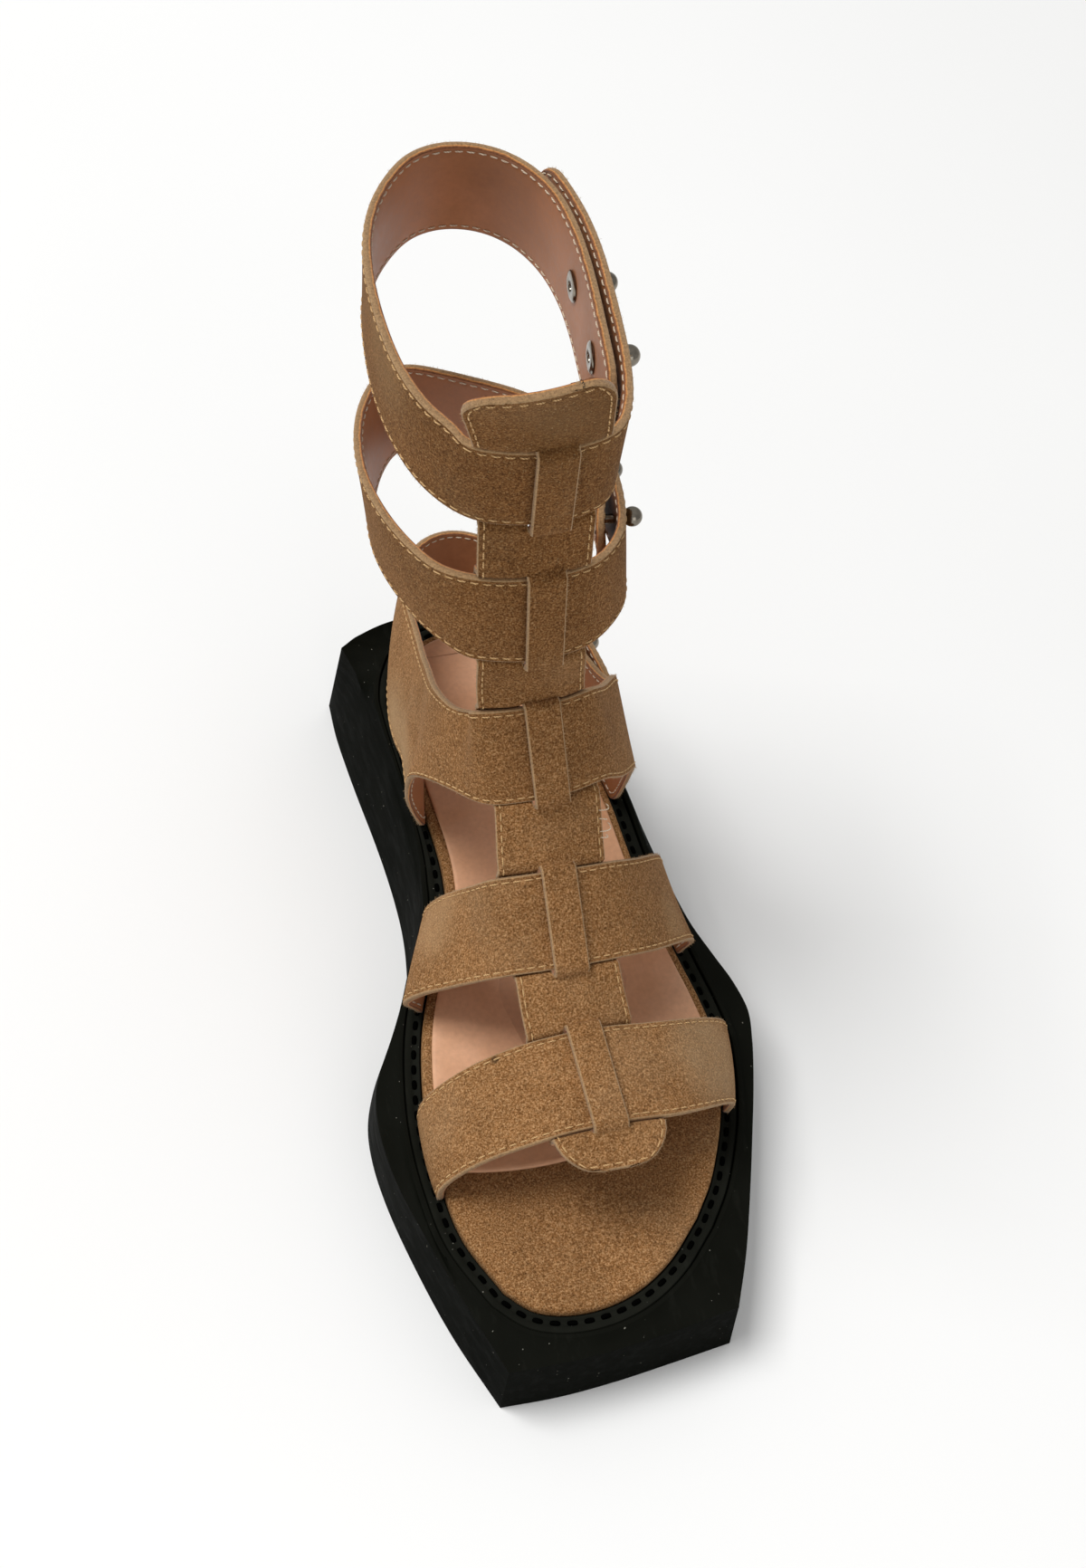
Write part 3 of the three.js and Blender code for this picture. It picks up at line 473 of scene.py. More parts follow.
INSOLE_OUTLINE = [
    [(3.5, 20), (9.5, 14.2), (17, 11.6), (27, 11.4), (37, 14), (47, 19.8), (57, 29.2)],
    [(57, 29.2), (63.5, 37.8), (68.2, 46.4), (72.4, 56), (76, 68), (77.8, 80), (77, 90), (75, 102),
     (72.6, 115), (70.6, 128), (69.6, 142), (68.8, 156), (67, 170), (64.4, 184), (61, 197),
     (57, 208.5), (51, 217.6)],
    [(51, 217.6), (44.5, 221.8), (37, 223.6), (29.5, 223.2), (23, 220.4), (17.5, 215.5)],
    [(17.5, 215.5), (14.2, 208.4), (12.4, 200), (11.6, 188), (12, 174), (13.2, 161), (14.2, 150),
     (14.2, 140), (12.6, 129), (8.4, 118.6), (3, 106.5), (-1.6, 93.5), (-4.6, 79), (-6, 65),
     (-5.6, 50), (-3.4, 35.5), (3.5, 20)],
]
# Steps in each run
RUNS = (56, 170, 56, 170)
TOE_MIDDLE = RUNS[0] // 2

# Tongue rows: across, along, height, inner half width, outer half width, bend radius
SPINE = [
    (32.8, 34.5, 50.5, 14.2, 14.6, 60), (32.8, 44.8, 54, 14.4, 14.8, 50), (32.3, 70, 57.4, 14, 13.8, 50),
    (31.6, 83.9, 65.8, 13.9, 13.2, 42), (31.2, 103.5, 81, 14.6, 13.4, 42), (31, 115.9, 95.3, 14, 13.2, 34),
    (28, 127, 118.8, 14.8, 11.8, 34), (25.8, 125.8, 137, 15, 10.8, 38), (23, 126.1, 164, 15, 10.8, 38),
    (21.4, 125.7, 181, 15, 10.8, 38), (18, 119.8, 206.5, 16.4, 11.8, 38), (14.6, 112, 227, 19.6, 11.4, 60),
]
CROSSINGS = {"toe": 1, "instep": 3, "quarter": 5, "lower": 7, "top": 9}

# Foot straps: seats of lower and upper edge along the sole, and bulge, inner side then outer side
FOOT_STRAPS = {
    "toe": (((47, 70.5), 0.3), ((56.5, 80), 0.3)),
    "instep": (((100, 125.5), 5), ((105.5, 131), 1.6)),
}
# Arch: share of the way out, of the way along, of the rise left and of the bulge
ARCH = [(0.34, 0.16, 0.87, 0.05), (0.64, 0.42, 0.68, 0.3), (0.87, 0.7, 0.45, 0.72), (1, 0.9, 0.22, 1),
        (1, 0.96, 0.12, 0.62), (1, 1, 0.045, 0.08), (1, 1, 0, 0)]

# Quarter rows: lower across, along, height, upper across, along, height, or for a seated row:
# seat along, upper across, along, height
QUARTER_OUTER_BAND = [
    (69, 164, 60.5, 64.4, 168, 78), (68.6, 172, 59.4, 63.6, 175, 77.6),
    (67.6, 181.5, 58.5, 62.4, 184, 77.5), (65.4, 192, 57, 60, 195, 76.4),
    (61.8, 203.5, 55.5, 56.8, 206, 76.4), (55.8, 214.2, 54.3, 51.6, 217.3, 77),
    (46.5, 223.3, 53.7, 43.5, 227, 77.8), (34, 228, 53.5, 33.5, 231, 78.4),
    (24, 226, 51, 24.6, 228, 79), (17.2, 221.6, 47, 18.4, 221, 79),
]
QUARTER_INNER_SEAT = [
    (213, 15.5, 211, 78), (206, 14.6, 203.5, 77.6), (197, 14.6, 194.5, 78.4), (186, 14, 186, 80.6),
    (176, 12.8, 177, 84.5), (165.5, 12, 169.5, 88.2), (156.5, 11.5, 165.6, 90.2),
]
QUARTER_INNER_ARM = [
    (4.9, 152.2, 53, 10.6, 157.5, 94.6), (4.2, 149.2, 67, 10.6, 148.6, 99.6), (6, 138, 80, 12, 141, 104),
    (10.6, 126.4, 88, 15.4, 134.4, 109.5),
]
QUARTER_OUTER_ARM = [
    (52.6, 124.4, 88.6, 47.6, 136.6, 112), (60.4, 133.5, 80, 53.6, 145, 105.5),
    (65.6, 143, 67, 58, 152.5, 96), (69, 151, 50, 60.8, 159.5, 87),
]
QUARTER_OUTER_SEAT = [
    (157.5, 61.6, 165, 81.6), (161, 61.4, 170, 78.6), (169, 61, 176.5, 76.4), (176, 60, 182.5, 75.2),
    (179.5, 59.2, 186, 74.8),
]
QUARTER_BACK_ARM = [
    (65, 185.5, 49, 58, 190.5, 74.5), (61.4, 194, 59, 56, 197, 74.6), (57, 203, 57.6, 52.8, 205.4, 75),
    (52.3, 211.4, 56, 48.4, 213.8, 75.8),
]

# Ankle straps: width, tilt of the upper edge, lean of the width, and the upper edge's rows of
# across, along before and after the tongue
LOWER_ANKLE = (
    27, (-0.07, 0), (-0.19, -0.03),
    [(39.4, 139.5), (42.4, 149), (44.2, 160), (43.2, 172), (39, 181.6), (32, 188.6), (24, 194),
     (15, 199.6), (8, 203), (2, 202), (-3, 196), (-7, 187.6), (-9.4, 178), (-10.1, 168), (-9.1, 158),
     (-6.8, 148), (-3.2, 139), (0.6, 133)],
    [(43.6, 137), (46.4, 146), (47.6, 155), (47.7, 165), (46.4, 175.4), (42, 184.8)],
)
TOP_ANKLE = (
    25, (-0.06, -0.12), (-0.07, -0.16),
    [(34.5, 134.5), (35.7, 145), (36.8, 158), (37.8, 171), (37.7, 184), (35.9, 194.5), (31.9, 203),
     (26.2, 208.8), (19.5, 211.7), (12.8, 212), (6.2, 209.5), (0.4, 203.6), (-4.7, 195.5),
     (-8.1, 185.5), (-10, 172), (-10.1, 158), (-8.5, 145), (-5, 134), (-0.4, 126.8)],
    [(36, 130), (38.4, 140), (39.9, 152), (40.9, 164), (41.3, 176), (40.8, 186.6), (39, 197),
     (36.4, 206)],
)
# Studs: across, along, height, turn seen from above
STUDS = {
    "quarter": [(61.4, 189, 66.5, 22), (56.6, 201, 66.2, 33)],
    "lower": [(45, 154.5, 152, -8), (46, 169, 152, 4)],
    "top": [(38, 154, 201, -6), (39, 177, 203, 0)],
}

# Curves and surfaces


def mix(a, b, t):
    """The value a share t of the way from a to b."""
    return a + (b - a) * t


def unit(v):
    """Vectors divided by their lengths."""
    return v / np.maximum(np.linalg.norm(v, axis=-1, keepdims=True), 1e-12)


def height(parts):
    """Turn height parts into millimetres: heel parts up to the insole, rise parts above it."""
    return min(parts, HEEL_PARTS) * HEEL_HEIGHT / HEEL_PARTS + max(parts - HEEL_PARTS, 0) * RISE


def point_at(x, y, z=0.0):
    """Point in millimetres from parts across, along and up."""
    return np.array([x * ACROSS, y * ALONG, height(z)])


def smooth_curve(points, places):
    """Centripetal Catmull-Rom curve through points, read at places from 0 to 1.

    Between two points it is the cubic whose end slopes come from the neighbouring chords, each
    divided by the square root of its length.
    """
    points = np.asarray(points, float)
    count = len(points)
    at = np.asarray(places, float) * (count - 1)
    index = np.minimum(at.astype(int), count - 2)
    weight = (at - index)[:, None]
    before = np.vstack([2 * points[0] - points[1], points, 2 * points[-1] - points[-2]])
    p0, p1, p2, p3 = (before[index + k] for k in range(4))
    chords = (p1 - p0, p2 - p1, p3 - p2)
    step = [np.sqrt(np.linalg.norm(chord, axis=1, keepdims=True)) for chord in chords]
    step[1] = np.where(step[1] < 1e-4, 1.0, step[1])
    step[0] = np.where(step[0] < 1e-4, step[1], step[0])
    step[2] = np.where(step[2] < 1e-4, step[1], step[2])
    t1 = ((p1 - p0) / step[0] - (p2 - p0) / (step[0] + step[1]) + (p2 - p1) / step[1]) * step[1]
    t2 = ((p2 - p1) / step[1] - (p3 - p1) / (step[1] + step[2]) + (p3 - p2) / step[2]) * step[1]
    return (p1 + t1 * weight + (-3 * p1 + 3 * p2 - 2 * t1 - t2) * weight ** 2
            + (2 * p1 - 2 * p2 + t1 + t2) * weight ** 3)


def even_curve(points, steps):
    """The same curve at evenly spaced places along its length."""
    dense = smooth_curve(points, np.linspace(0, 1, 40 * len(points)))
    run = np.concatenate([[0], np.cumsum(np.linalg.norm(np.diff(dense, axis=0), axis=1))])
    where = np.linspace(0, run[-1], steps + 1)
    return np.stack([np.interp(where, run, dense[:, k]) for k in range(dense.shape[1])], 1)


def outline_ring(outline):
    """Ring of an outline, run by run, in millimetres."""
    runs = [even_curve([point_at(x, y) for x, y in run], steps)[:-1] for run, steps in zip(outline, RUNS)]
    return np.vstack(runs)


def insole_height(y):
    """Height of the insole's top: a share of the way from toe to heel, read from its table."""
    table = np.array(TOP_LINE, float)
    return mix(TOE_HEIGHT, HEEL_HEIGHT, np.interp(y / ALONG, table[:, 0], table[:, 1]))


def crease_height(y):
    """Height of the wall's crease: a share of the way from toe to heel, read from its table."""
    table = np.array(CREASE_LINE, float)
    return mix(TOE_WALL, HEEL_WALL, np.interp(y / ALONG, table[:, 0], table[:, 1]))


def welt_top(y):
    """Height of the welt, which lies lower than the insole."""
    return insole_height(y) - INSOLE_LIP


INSOLE_RING = outline_ring(INSOLE_OUTLINE)
CREASE_RING = outline_ring(CREASE_OUTLINE)
FLOOR_RING = outline_ring(FLOOR_OUTLINE)
RING_RUN = np.roll(INSOLE_RING, -1, 0) - np.roll(INSOLE_RING, 1, 0)
RING_OUT = unit(np.stack([RING_RUN[:, 1], -RING_RUN[:, 0], 0 * RING_RUN[:, 0]], 1))


def offset_ring(distance, share=1.0, past=0.0):
    """Insole ring moved outward, held to a share of the way to the crease, and then past that."""
    room = np.linalg.norm(CREASE_RING - INSOLE_RING, axis=1) * share
    return INSOLE_RING + RING_OUT * (np.minimum(distance, room) + past)[:, None]


def lifted(ring, heights):
    """A copy of a ring at new heights."""
    out = ring.copy()
    out[:, 2] = heights
    return out


# Meshes


def make_object(name, points, faces, materials, slots=None, level=None, sharp=None):
    """Make a mesh object from millimetre points in the model's own corner frame."""
    mesh = bpy.data.meshes.new(name)
    points = (np.asarray(points, float) - MIDDLE) * MM
    mesh.from_pydata(points.tolist(), [], [list(map(int, f)) for f in faces])
    for material in materials:
        mesh.materials.append(material)
    if slots is not None:
        mesh.polygons.foreach_set("material_index", np.asarray(slots, np.int32))
    if level is not None:
        values = mesh.attributes.new("level", "FLOAT", "POINT").data
        values.foreach_set("value", np.asarray(level, np.float32))
    mesh.polygons.foreach_set("use_smooth", np.ones(len(mesh.polygons), bool))
    if sharp is not None:
        mesh.set_sharp_from_angle(angle=math.radians(sharp))
    mesh.update()
    piece = bpy.data.objects.new(name, mesh)
    bpy.context.scene.collection.objects.link(piece)
    return piece


def settle(piece, slot_name, *nodes):
    """Ride on the part's body and stand for nodes. slot_name is not used."""
    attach(piece, "root")
    if nodes:
        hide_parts(*nodes)


def face_out(piece):
    """Turn all faces of a closed mesh to face out."""
    work = bmesh.new()
    work.from_mesh(piece.data)
    bmesh.ops.recalc_face_normals(work, faces=work.faces)
    work.to_mesh(piece.data)
    work.free()
    return piece


def grid_quads(rows, columns):
    """Quads of a grid of points stored row by row."""
    at = np.arange(rows * columns).reshape(rows, columns)
    return np.stack([at[:-1, :-1], at[1:, :-1], at[1:, 1:], at[:-1, 1:]], -1).reshape(-1, 4)


def vertex_normals(points, quads):
    """Unit normals of a sheet: the sum of the cross products of each quad's diagonals."""
    a, b, c, d = (points[quads[:, k]] for k in range(4))
    face = np.cross(c - a, d - b)
    normals = np.zeros_like(points)
    for k in range(4):
        np.add.at(normals, quads[:, k], face)
    return unit(normals)


# Rim of a sheet between its faces: level and share of the bevel
RIM_LEVELS = ((0.86, 0.35), (0.55, 0.04), (0.0, -0.12), (-0.55, 0.04), (-0.86, 0.35))

# Raw edges of the sheets: start, end, outward direction and normal of each edge
RAW_EDGES = []


def shell(points, quads, half, dip, bevel=0.5):
    """Thicken a sheet both ways with rounded rims.

    The top is the sheet plus half along the normal, the bottom minus half. A rim point lies between
    them at a level, moved in from the edge by a share of the bevel. Dip lowers both faces.
    """
    normals = vertex_normals(points, quads)
    # An edge between two quads is met in both directions, and one of the border in one only
    edges = np.stack([quads, np.roll(quads, -1, 1)], -1).reshape(-1, 2)
    there, back = edges @ (len(points), 1), edges @ (1, len(points))
    border = edges[~np.isin(back, there)]
    run = points[border[:, 1]] - points[border[:, 0]]
    outward = np.zeros_like(points)
    for k in range(2):
        np.add.at(outward, border[:, k], unit(np.cross(run, normals[border[:, k]])))
    outward = unit(outward)
    start, end = border.T
    RAW_EDGES.append((points[start], points[end], outward[start], normals[start]))
    rim = np.unique(border)
    lookup = np.full(len(points), -1)
    lookup[rim] = np.arange(len(rim))
    inset = np.zeros(len(points))
    inset[rim] = bevel
    top = points + normals * (half - dip)[:, None] - outward * inset[:, None]
    bottom = points - normals * (half - dip)[:, None] - outward * inset[:, None]
    layers = [top, bottom]
    levels = [np.full(len(points), 1.0), np.full(len(points), -1.0)]
    for level, share in RIM_LEVELS:
        layers.append(points[rim] + normals[rim] * half * level - outward[rim] * bevel * share)
        levels.append(np.full(len(rim), level))
    count = len(points)
    faces = [quads, quads[:, ::-1] + count]
    slots = [np.zeros(len(quads), int), np.ones(len(quads), int)]
    between = [2 * count + k * len(rim) + lookup[border] for k in range(len(RIM_LEVELS))]
    rows = [border] + between + [border + count]
    for low, high in zip(rows[:-1], rows[1:]):
        faces.append(np.stack([low[:, 1], low[:, 0], high[:, 0], high[:, 1]], 1))
        slots.append(np.full(len(border), 2))
    return np.vstack(layers), np.vstack(faces), np.concatenate(slots), np.concatenate(levels), normals


def ring_quads(rings, sides, closed=False):
    """Quads between rings of points stored ring by ring; closed joins the last ring to the first."""
    at = np.arange(rings * sides).reshape(rings, sides)
    if closed:
        at = np.vstack([at, at[:1]])
    around = np.roll(at, -1, 1)
    return np.stack([at[:-1], around[:-1], around[1:], at[1:]], -1).reshape(-1, 4)


def stitches(path, normals, level, pitch=STITCH_PITCH, length=STITCH_LENGTH, radius=THREAD_RADIUS):
    """Row of thread stitches along a path: each a short tube that dips at both ends."""
    run = np.concatenate([[0], np.cumsum(np.linalg.norm(np.diff(path, axis=0), axis=1))])
    count = int(run[-1] // pitch)
    number = np.arange(count)[:, None]
    where = (number + 0.5) * run[-1] / count + STITCH_PROFILE[:, 0] * length
    line = np.stack([np.interp(where, run, path[:, k]) for k in range(3)], -1)
    out = unit(np.stack([np.interp(where, run, normals[:, k]) for k in range(3)], -1))
    side = unit(np.cross(np.gradient(line, axis=1), out))
    base = line + out * (level + STITCH_PROFILE[:, 1] * radius * STITCH_BOW)[:, None]
    angle = (2 * math.pi * np.arange(STITCH_SIDES) / STITCH_SIDES)[:, None]
    ring = side[..., None, :] * np.cos(angle) + out[..., None, :] * np.sin(angle)
    points = base[..., None, :] + ring * (STITCH_PROFILE[:, 2] * radius)[:, None, None]
    one = ring_quads(len(STITCH_PROFILE), STITCH_SIDES)
    faces = one + (number * len(STITCH_PROFILE) * STITCH_SIDES)[:, None]
    return points.reshape(-1, 3), faces.reshape(-1, 4)


class Threads:
    """Collect stitches of one colour into one mesh."""

    def __init__(self):
        self.points, self.faces, self.count = [], [], 0

    def add(self, points, faces):
        """Take in the mesh of some stitches."""
        self.points.append(points)
        self.faces.append(faces + self.count)
        self.count += len(points)

    def make(self, name, material, slot_name):
        """Make the piece that holds all of them."""
        piece = make_object(name, np.vstack(self.points), np.vstack(self.faces), [material])
        settle(piece, slot_name)


outside_thread, inside_thread = Threads(), Threads()


def sew(path, normals, half):
    """Stitch along a path on both faces of a sheet, half its thickness away."""
    outside_thread.add(*stitches(path, normals, half - THREAD_SINK))
    inside_thread.add(*stitches(path, -normals, half - THREAD_SINK))


# Tongue and straps

SPINE_POINTS = [point_at(x, y, z) for x, y, z, *_ in SPINE]
WEAVE_LEVEL = STRAP_THICKNESS / 2 + WEAVE_GAP + TONGUE_THICKNESS / 2
# Under a bridge a strap keeps to the bend of the tongue, to a little past its edges
UNDER_SHARES = np.array([-1, -0.62, -0.3, 0, 0.3, 0.62, 1])
UNDER_REACH = 1.14


def is_crossing(k):
    """Whether a strap passes under the tongue between rows k and k + 1."""
    return k % 2 == 1 and k < len(SPINE) - 1


def spine_frame(k, t):
    """Place, directions and widths of the tongue's centre line at a share t past its row k.

    It is straight over a strap. Between straps it is the cubic that leaves and meets the straight
    stretches in their own directions.
    """
    a, b = SPINE_POINTS[k], SPINE_POINTS[k + 1]
    span = b - a
    length = np.linalg.norm(span)
    point, tangent = a + span * t, span
    if not is_crossing(k):
        start = unit(a - SPINE_POINTS[k - 1] if k > 0 else span) * length
        end = unit(SPINE_POINTS[k + 2] - b if k + 2 < len(SPINE) else span) * length
        point = (a * (2 * t ** 3 - 3 * t ** 2 + 1) + start * (t ** 3 - 2 * t ** 2 + t)
                 + b * (3 * t ** 2 - 2 * t ** 3) + end * (t ** 3 - t ** 2))
        tangent = (a * (6 * t ** 2 - 6 * t) + start * (3 * t ** 2 - 4 * t + 1)
                   + b * (6 * t - 6 * t ** 2) + end * (3 * t ** 2 - 2 * t))
    tangent = unit(tangent)
    across = unit(np.array([1.0, 0, 0]) - tangent * tangent[0])
    out = np.cross(across, tangent)
    inner, outer, bend = (mix(SPINE[k][c], SPINE[k + 1][c], t) * ACROSS for c in (3, 4, 5))
    return {"point": point, "across": across, "out": out, "inner": inner, "outer": outer,
            "bend": bend, "length": length}


def beside(at, offsets, level):
    """Points beside the centre line, on a cross section that is an arc of the bend radius."""
    offsets = np.asarray(offsets, float)[:, None]
    sag = at["bend"] - np.sqrt(at["bend"] ** 2 - offsets ** 2)
    return at["point"] + at["across"] * offsets + at["out"] * (level - sag)


def under_bridge(crossing, end):
    """Points of a strap's curve under the tongue, at a share of the way along the crossing."""
    at = spine_frame(crossing, end)
    widths = np.where(UNDER_SHARES < 0, at["inner"], at["outer"])
    return list(beside(at, UNDER_SHARES * widths * UNDER_REACH, 0))


def corner_round(distance, radius, half):
    """Half width left at a distance from an end whose corners are quarter circles."""
    d = np.clip(distance, 0, radius)
    return half - radius + np.sqrt(np.maximum(radius ** 2 - (radius - d) ** 2, 0))


# Width of the bell curve that smooths a strap, and the step that it is worked out in
EASE = 3.0
EASE_STEP = 0.5


def eased(line, run):
    """Line smoothed along its length by a bell curve as wide as EASE, with its ends held."""
    at = np.arange(0, run[-1], EASE_STEP)
    even = np.stack([np.interp(at, run, line[:, k]) for k in range(3)], 1)
    reach = int(3 * EASE / EASE_STEP)
    bell = np.exp(-(np.arange(-reach, reach + 1) * EASE_STEP / EASE) ** 2 / 2)
    bell /= bell.sum()
    padded = np.vstack([2 * even[0] - even[reach:0:-1], even, 2 * even[-1] - even[-2:-reach - 2:-1]])
    smooth = np.stack([np.convolve(padded[:, k], bell, "valid") for k in range(3)], 1)
    return np.stack([np.interp(run, at, smooth[:, k]) for k in range(3)], 1)


# Spacing of a strap's stations, and how much of a tip has rows of its own instead
STATION_STEP = 1.7
TIP_LENGTH = 10


def strap(name, node, curves, width, folds, tipped):
    """Build a strap from its lower, middle and upper curves, with rounded tips if tipped.

    Stations lie evenly along the middle curve. Across, a point is the quadratic through the three
    curves. Folds push the sheet along its normal by depth * exp(-(distance / size) ** 2) round a
    line that crosses the strap at a slant, fading to nothing at the upper edge.
    """
    dense = np.linspace(0, 1, 1200)
    low, centre, high = (smooth_curve(c, dense) for c in curves)
    run = np.concatenate([[0], np.cumsum(np.linalg.norm(np.diff(centre, axis=0), axis=1))])
    total = run[-1]
    where = np.linspace(0, total, int(total / STATION_STEP))
    half = np.full(len(where), 0.5)
    if tipped:
        body = where[(where > TIP_LENGTH) & (where < total - TIP_LENGTH)]
        where = np.concatenate([[0], TIP_ROWS, body, total - TIP_ROWS[::-1], [total]])
        half = corner_round(np.minimum(where, total - where), TIP_ROUND, width / 2) / width
    edge = EDGE_ROWS / width
    shares = np.concatenate([edge, np.linspace(0.17, 0.83, 11), 1 - edge[::-1]])
    across = (0.5 + (shares[None] - 0.5) * (half / 0.5)[:, None])[..., None]
    smooth = [eased(line, run) for line in (low, centre, high)]
    low, centre, high = (np.stack([np.interp(where, run, line[:, k]) for k in range(3)], 1)[:, None]
                         for line in smooth)
    grid = (low * (2 * across - 1) * (across - 1) + centre * 4 * across * (1 - across)
            + high * across * (2 * across - 1))
    rows, columns = len(where), len(shares)
    points = grid.reshape(-1, 3)
    quads = grid_quads(rows, columns)
    along = np.repeat(where, columns)
    side = np.tile(shares, rows) * width
    # A faint waviness that no strap is without
    lift = 0.12 * np.sin(along / 9.1 + side * 0.13) * np.sin(along / 23 + 1.3)
    for at, slant, size, depth in folds:
        distance = along - at * total - slant * (side - width / 2)
        lift += depth * np.exp(-(distance / size) ** 2) * (1 - side / width)
    points = points + vertex_normals(points, quads) * lift[:, None]

    ahead = STITCH_ROW if tipped else 1
    body, middle = slice(ahead, rows - ahead), slice(STITCH_ROW, columns - STITCH_ROW)
    seams = [(body, STITCH_ROW), (body, columns - 1 - STITCH_ROW)]
    dip = np.zeros((rows, columns))
    for _, column in seams:
        dip[:, column] = STITCH_DIP
        dip[:, [column - 1, column + 1]] = SHOULDER_DIP
    if tipped:
        seams += [(STITCH_ROW, middle), (rows - 1 - STITCH_ROW, middle)]
        for seam in seams[2:]:
            dip[seam] = STITCH_DIP
    half_thick = STRAP_THICKNESS / 2
    shell_points, faces, slots, level, normals = shell(points, quads, half_thick, dip.reshape(-1))
    piece = make_object(name, shell_points, faces, [SUEDE, LINING, EDGE], slots, level)
    settle(piece, "suede", node)
    grid, normals = points.reshape(rows, columns, 3), normals.reshape(rows, columns, 3)
    for seam in seams:
        sew(grid[seam], normals[seam], half_thick)
    return piece


def insole_edge(side, y, outward):
    """Insole edge on a side at a place along, moved outward."""
    step = 1 if side == "outer" else -1
    index = (TOE_MIDDLE + step * np.arange(1, len(INSOLE_RING) // 2)) % len(INSOLE_RING)
    line = INSOLE_RING[index] + RING_OUT[index] * outward
    ahead = np.argmax((line[:-1, 1] <= y) & (line[1:, 1] >= y))
    a, b = line[ahead], line[ahead + 1]
    return mix(a, b, (y - a[1]) / (b[1] - a[1]))


def seat_point(side, along):
    """Place of a strap's lower edge beside the insole, a little above the welt."""
    point = insole_edge(side, along * ALONG, SEAT_GAP + STRAP_THICKNESS / 2)
    point[2] = welt_top(point[1]) + STRAP_LIFT
    return point


def foot_strap_curves(name):
    """Edges and middle line of a foot strap: an arch from the tongue down to each seat."""
    curves = []
    for end in (0, 0.5, 1):
        middle = under_bridge(CROSSINGS[name], end)
        halves = []
        for side, wing, sign in (("inner", middle[0], -1), ("outer", middle[-1], 1)):
            seat, bulge = FOOT_STRAPS[name][0 if side == "inner" else 1]
            foot = seat_point(side, mix(seat[0], seat[1], end))
            halves.append([np.array([mix(wing[0], foot[0], out) + sign * bulge * ACROSS * share,
                                     mix(wing[1], foot[1], back), mix(foot[2], wing[2], rise)])
                           for out, back, rise, share in ARCH])
        curves.append(halves[0][::-1] + middle + halves[1])
    return curves


def quarter_curves():
    """Edges and middle line of the quarter, from the outer tip round the heel to the inner tip."""
    lower, upper, swell = [], [], []

    def free(rows):
        """Take rows that hang free."""
        for x0, y0, z0, x1, y1, z1 in rows:
            lower.append(point_at(x0, y0, z0))
            upper.append(point_at(x1, y1, z1))
            swell.append(0.0)

    def seated(side, rows):
        """Take rows whose lower edge sits beside the insole on a side."""
        for along, x1, y1, z1 in rows:
            lower.append(seat_point(side, along))
            upper.append(point_at(x1, y1, z1))
            swell.append(QUARTER_SWELL if side == "outer" else -QUARTER_SWELL)

    free(QUARTER_OUTER_BAND)
    seated("inner", QUARTER_INNER_SEAT)
    free(QUARTER_INNER_ARM)
    lower.extend(under_bridge(CROSSINGS["quarter"], 0))
    upper.extend(under_bridge(CROSSINGS["quarter"], 1))
    swell.extend([0.0] * len(UNDER_SHARES))
    free(QUARTER_OUTER_ARM)
    seated("outer", QUARTER_OUTER_SEAT)
    free(QUARTER_BACK_ARM)
    middle = [(a + b) / 2 + np.array([w, 0, 0]) for a, b, w in zip(lower, upper, swell)]
    return lower, middle, upper


def ankle_curves(table, crossing):
    """Edges and middle line of an ankle strap on its tilted plane."""
    width, (tilt_x, tilt_y), (lean_x, lean_y), before, after = table
    front = spine_frame(crossing, 1)["point"]
    down = -unit(np.array([lean_x, lean_y, 1.0])) * width * RISE

    def around(rows):
        """Points of the upper edge: its height falls off with the tilt from the tongue."""
        points = np.array([point_at(x, y) for x, y in rows])
        away = points - front
        points[:, 2] = front[2] - tilt_x * away[:, 0] - tilt_y * away[:, 1]
        return list(points)

    start, end = around(before), around(after)
    upper = start + under_bridge(crossing, 1) + end
    lower = [p + down for p in start] + under_bridge(crossing, 0) + [p + down for p in end]
    return lower, [(a + b) / 2 for a, b in zip(lower, upper)], upper


# Folds, deepest at the lower edge: place along the strap, slant, size in mm, depth in mm
TOE_FOLDS = [(0.3, 0.1, 7, -0.3), (0.2, -0.2, 9, 0.35), (0.75, 0.2, 10, 0.3)]
INSTEP_FOLDS = [(0.25, 0.3, 8, -0.55), (0.34, 0.1, 8, 0.3), (0.72, -0.2, 9, -0.3)]
QUARTER_FOLDS = [(0.375, 0.1, 4.5, -0.9), (0.402, 0.1, 4, 0.75), (0.345, 0.1, 7, 0.5),
                 (0.45, 0.3, 8, 0.3), (0.6, -0.2, 7, -0.5), (0.24, 0, 12, 0.4)]
LOWER_FOLDS = [(0.28, 0.2, 9, -0.5), (0.5, -0.1, 12, 0.5), (0.66, 0.1, 8, -0.4)]
TOP_FOLDS = [(0.4, 0.2, 12, 0.4), (0.6, -0.2, 10, -0.4), (0.7, 0.1, 7, 0.3)]

strap("toe_strap_suede", "toe_strap", foot_strap_curves("toe"), FOOT_STRAP_WIDTH, TOE_FOLDS, False)
strap("instep_strap_suede", "instep_strap", foot_strap_curves("instep"), FOOT_STRAP_WIDTH, INSTEP_FOLDS,
      False)
quarter = strap("quarter_suede", "quarter_strap", quarter_curves(), QUARTER_WIDTH, QUARTER_FOLDS, True)
lower_ankle = strap("lower_ankle_suede", "lower_ankle_strap",
                    ankle_curves(LOWER_ANKLE, CROSSINGS["lower"]), LOWER_ANKLE_WIDTH, LOWER_FOLDS, True)
top_ankle = strap("top_ankle_suede", "top_ankle_strap",
                  ankle_curves(TOP_ANKLE, CROSSINGS["top"]), TOP_ANKLE_WIDTH, TOP_FOLDS, True)

# The flap is the tongue's last stretch
FLAP = len(SPINE) - 2
TONGUE_STEP = 1.6
# Share of a slit's end where its strips begin to part
PARTING = 0.62
# Half width below which the rows along an edge close up
EDGE_ROOM = 12


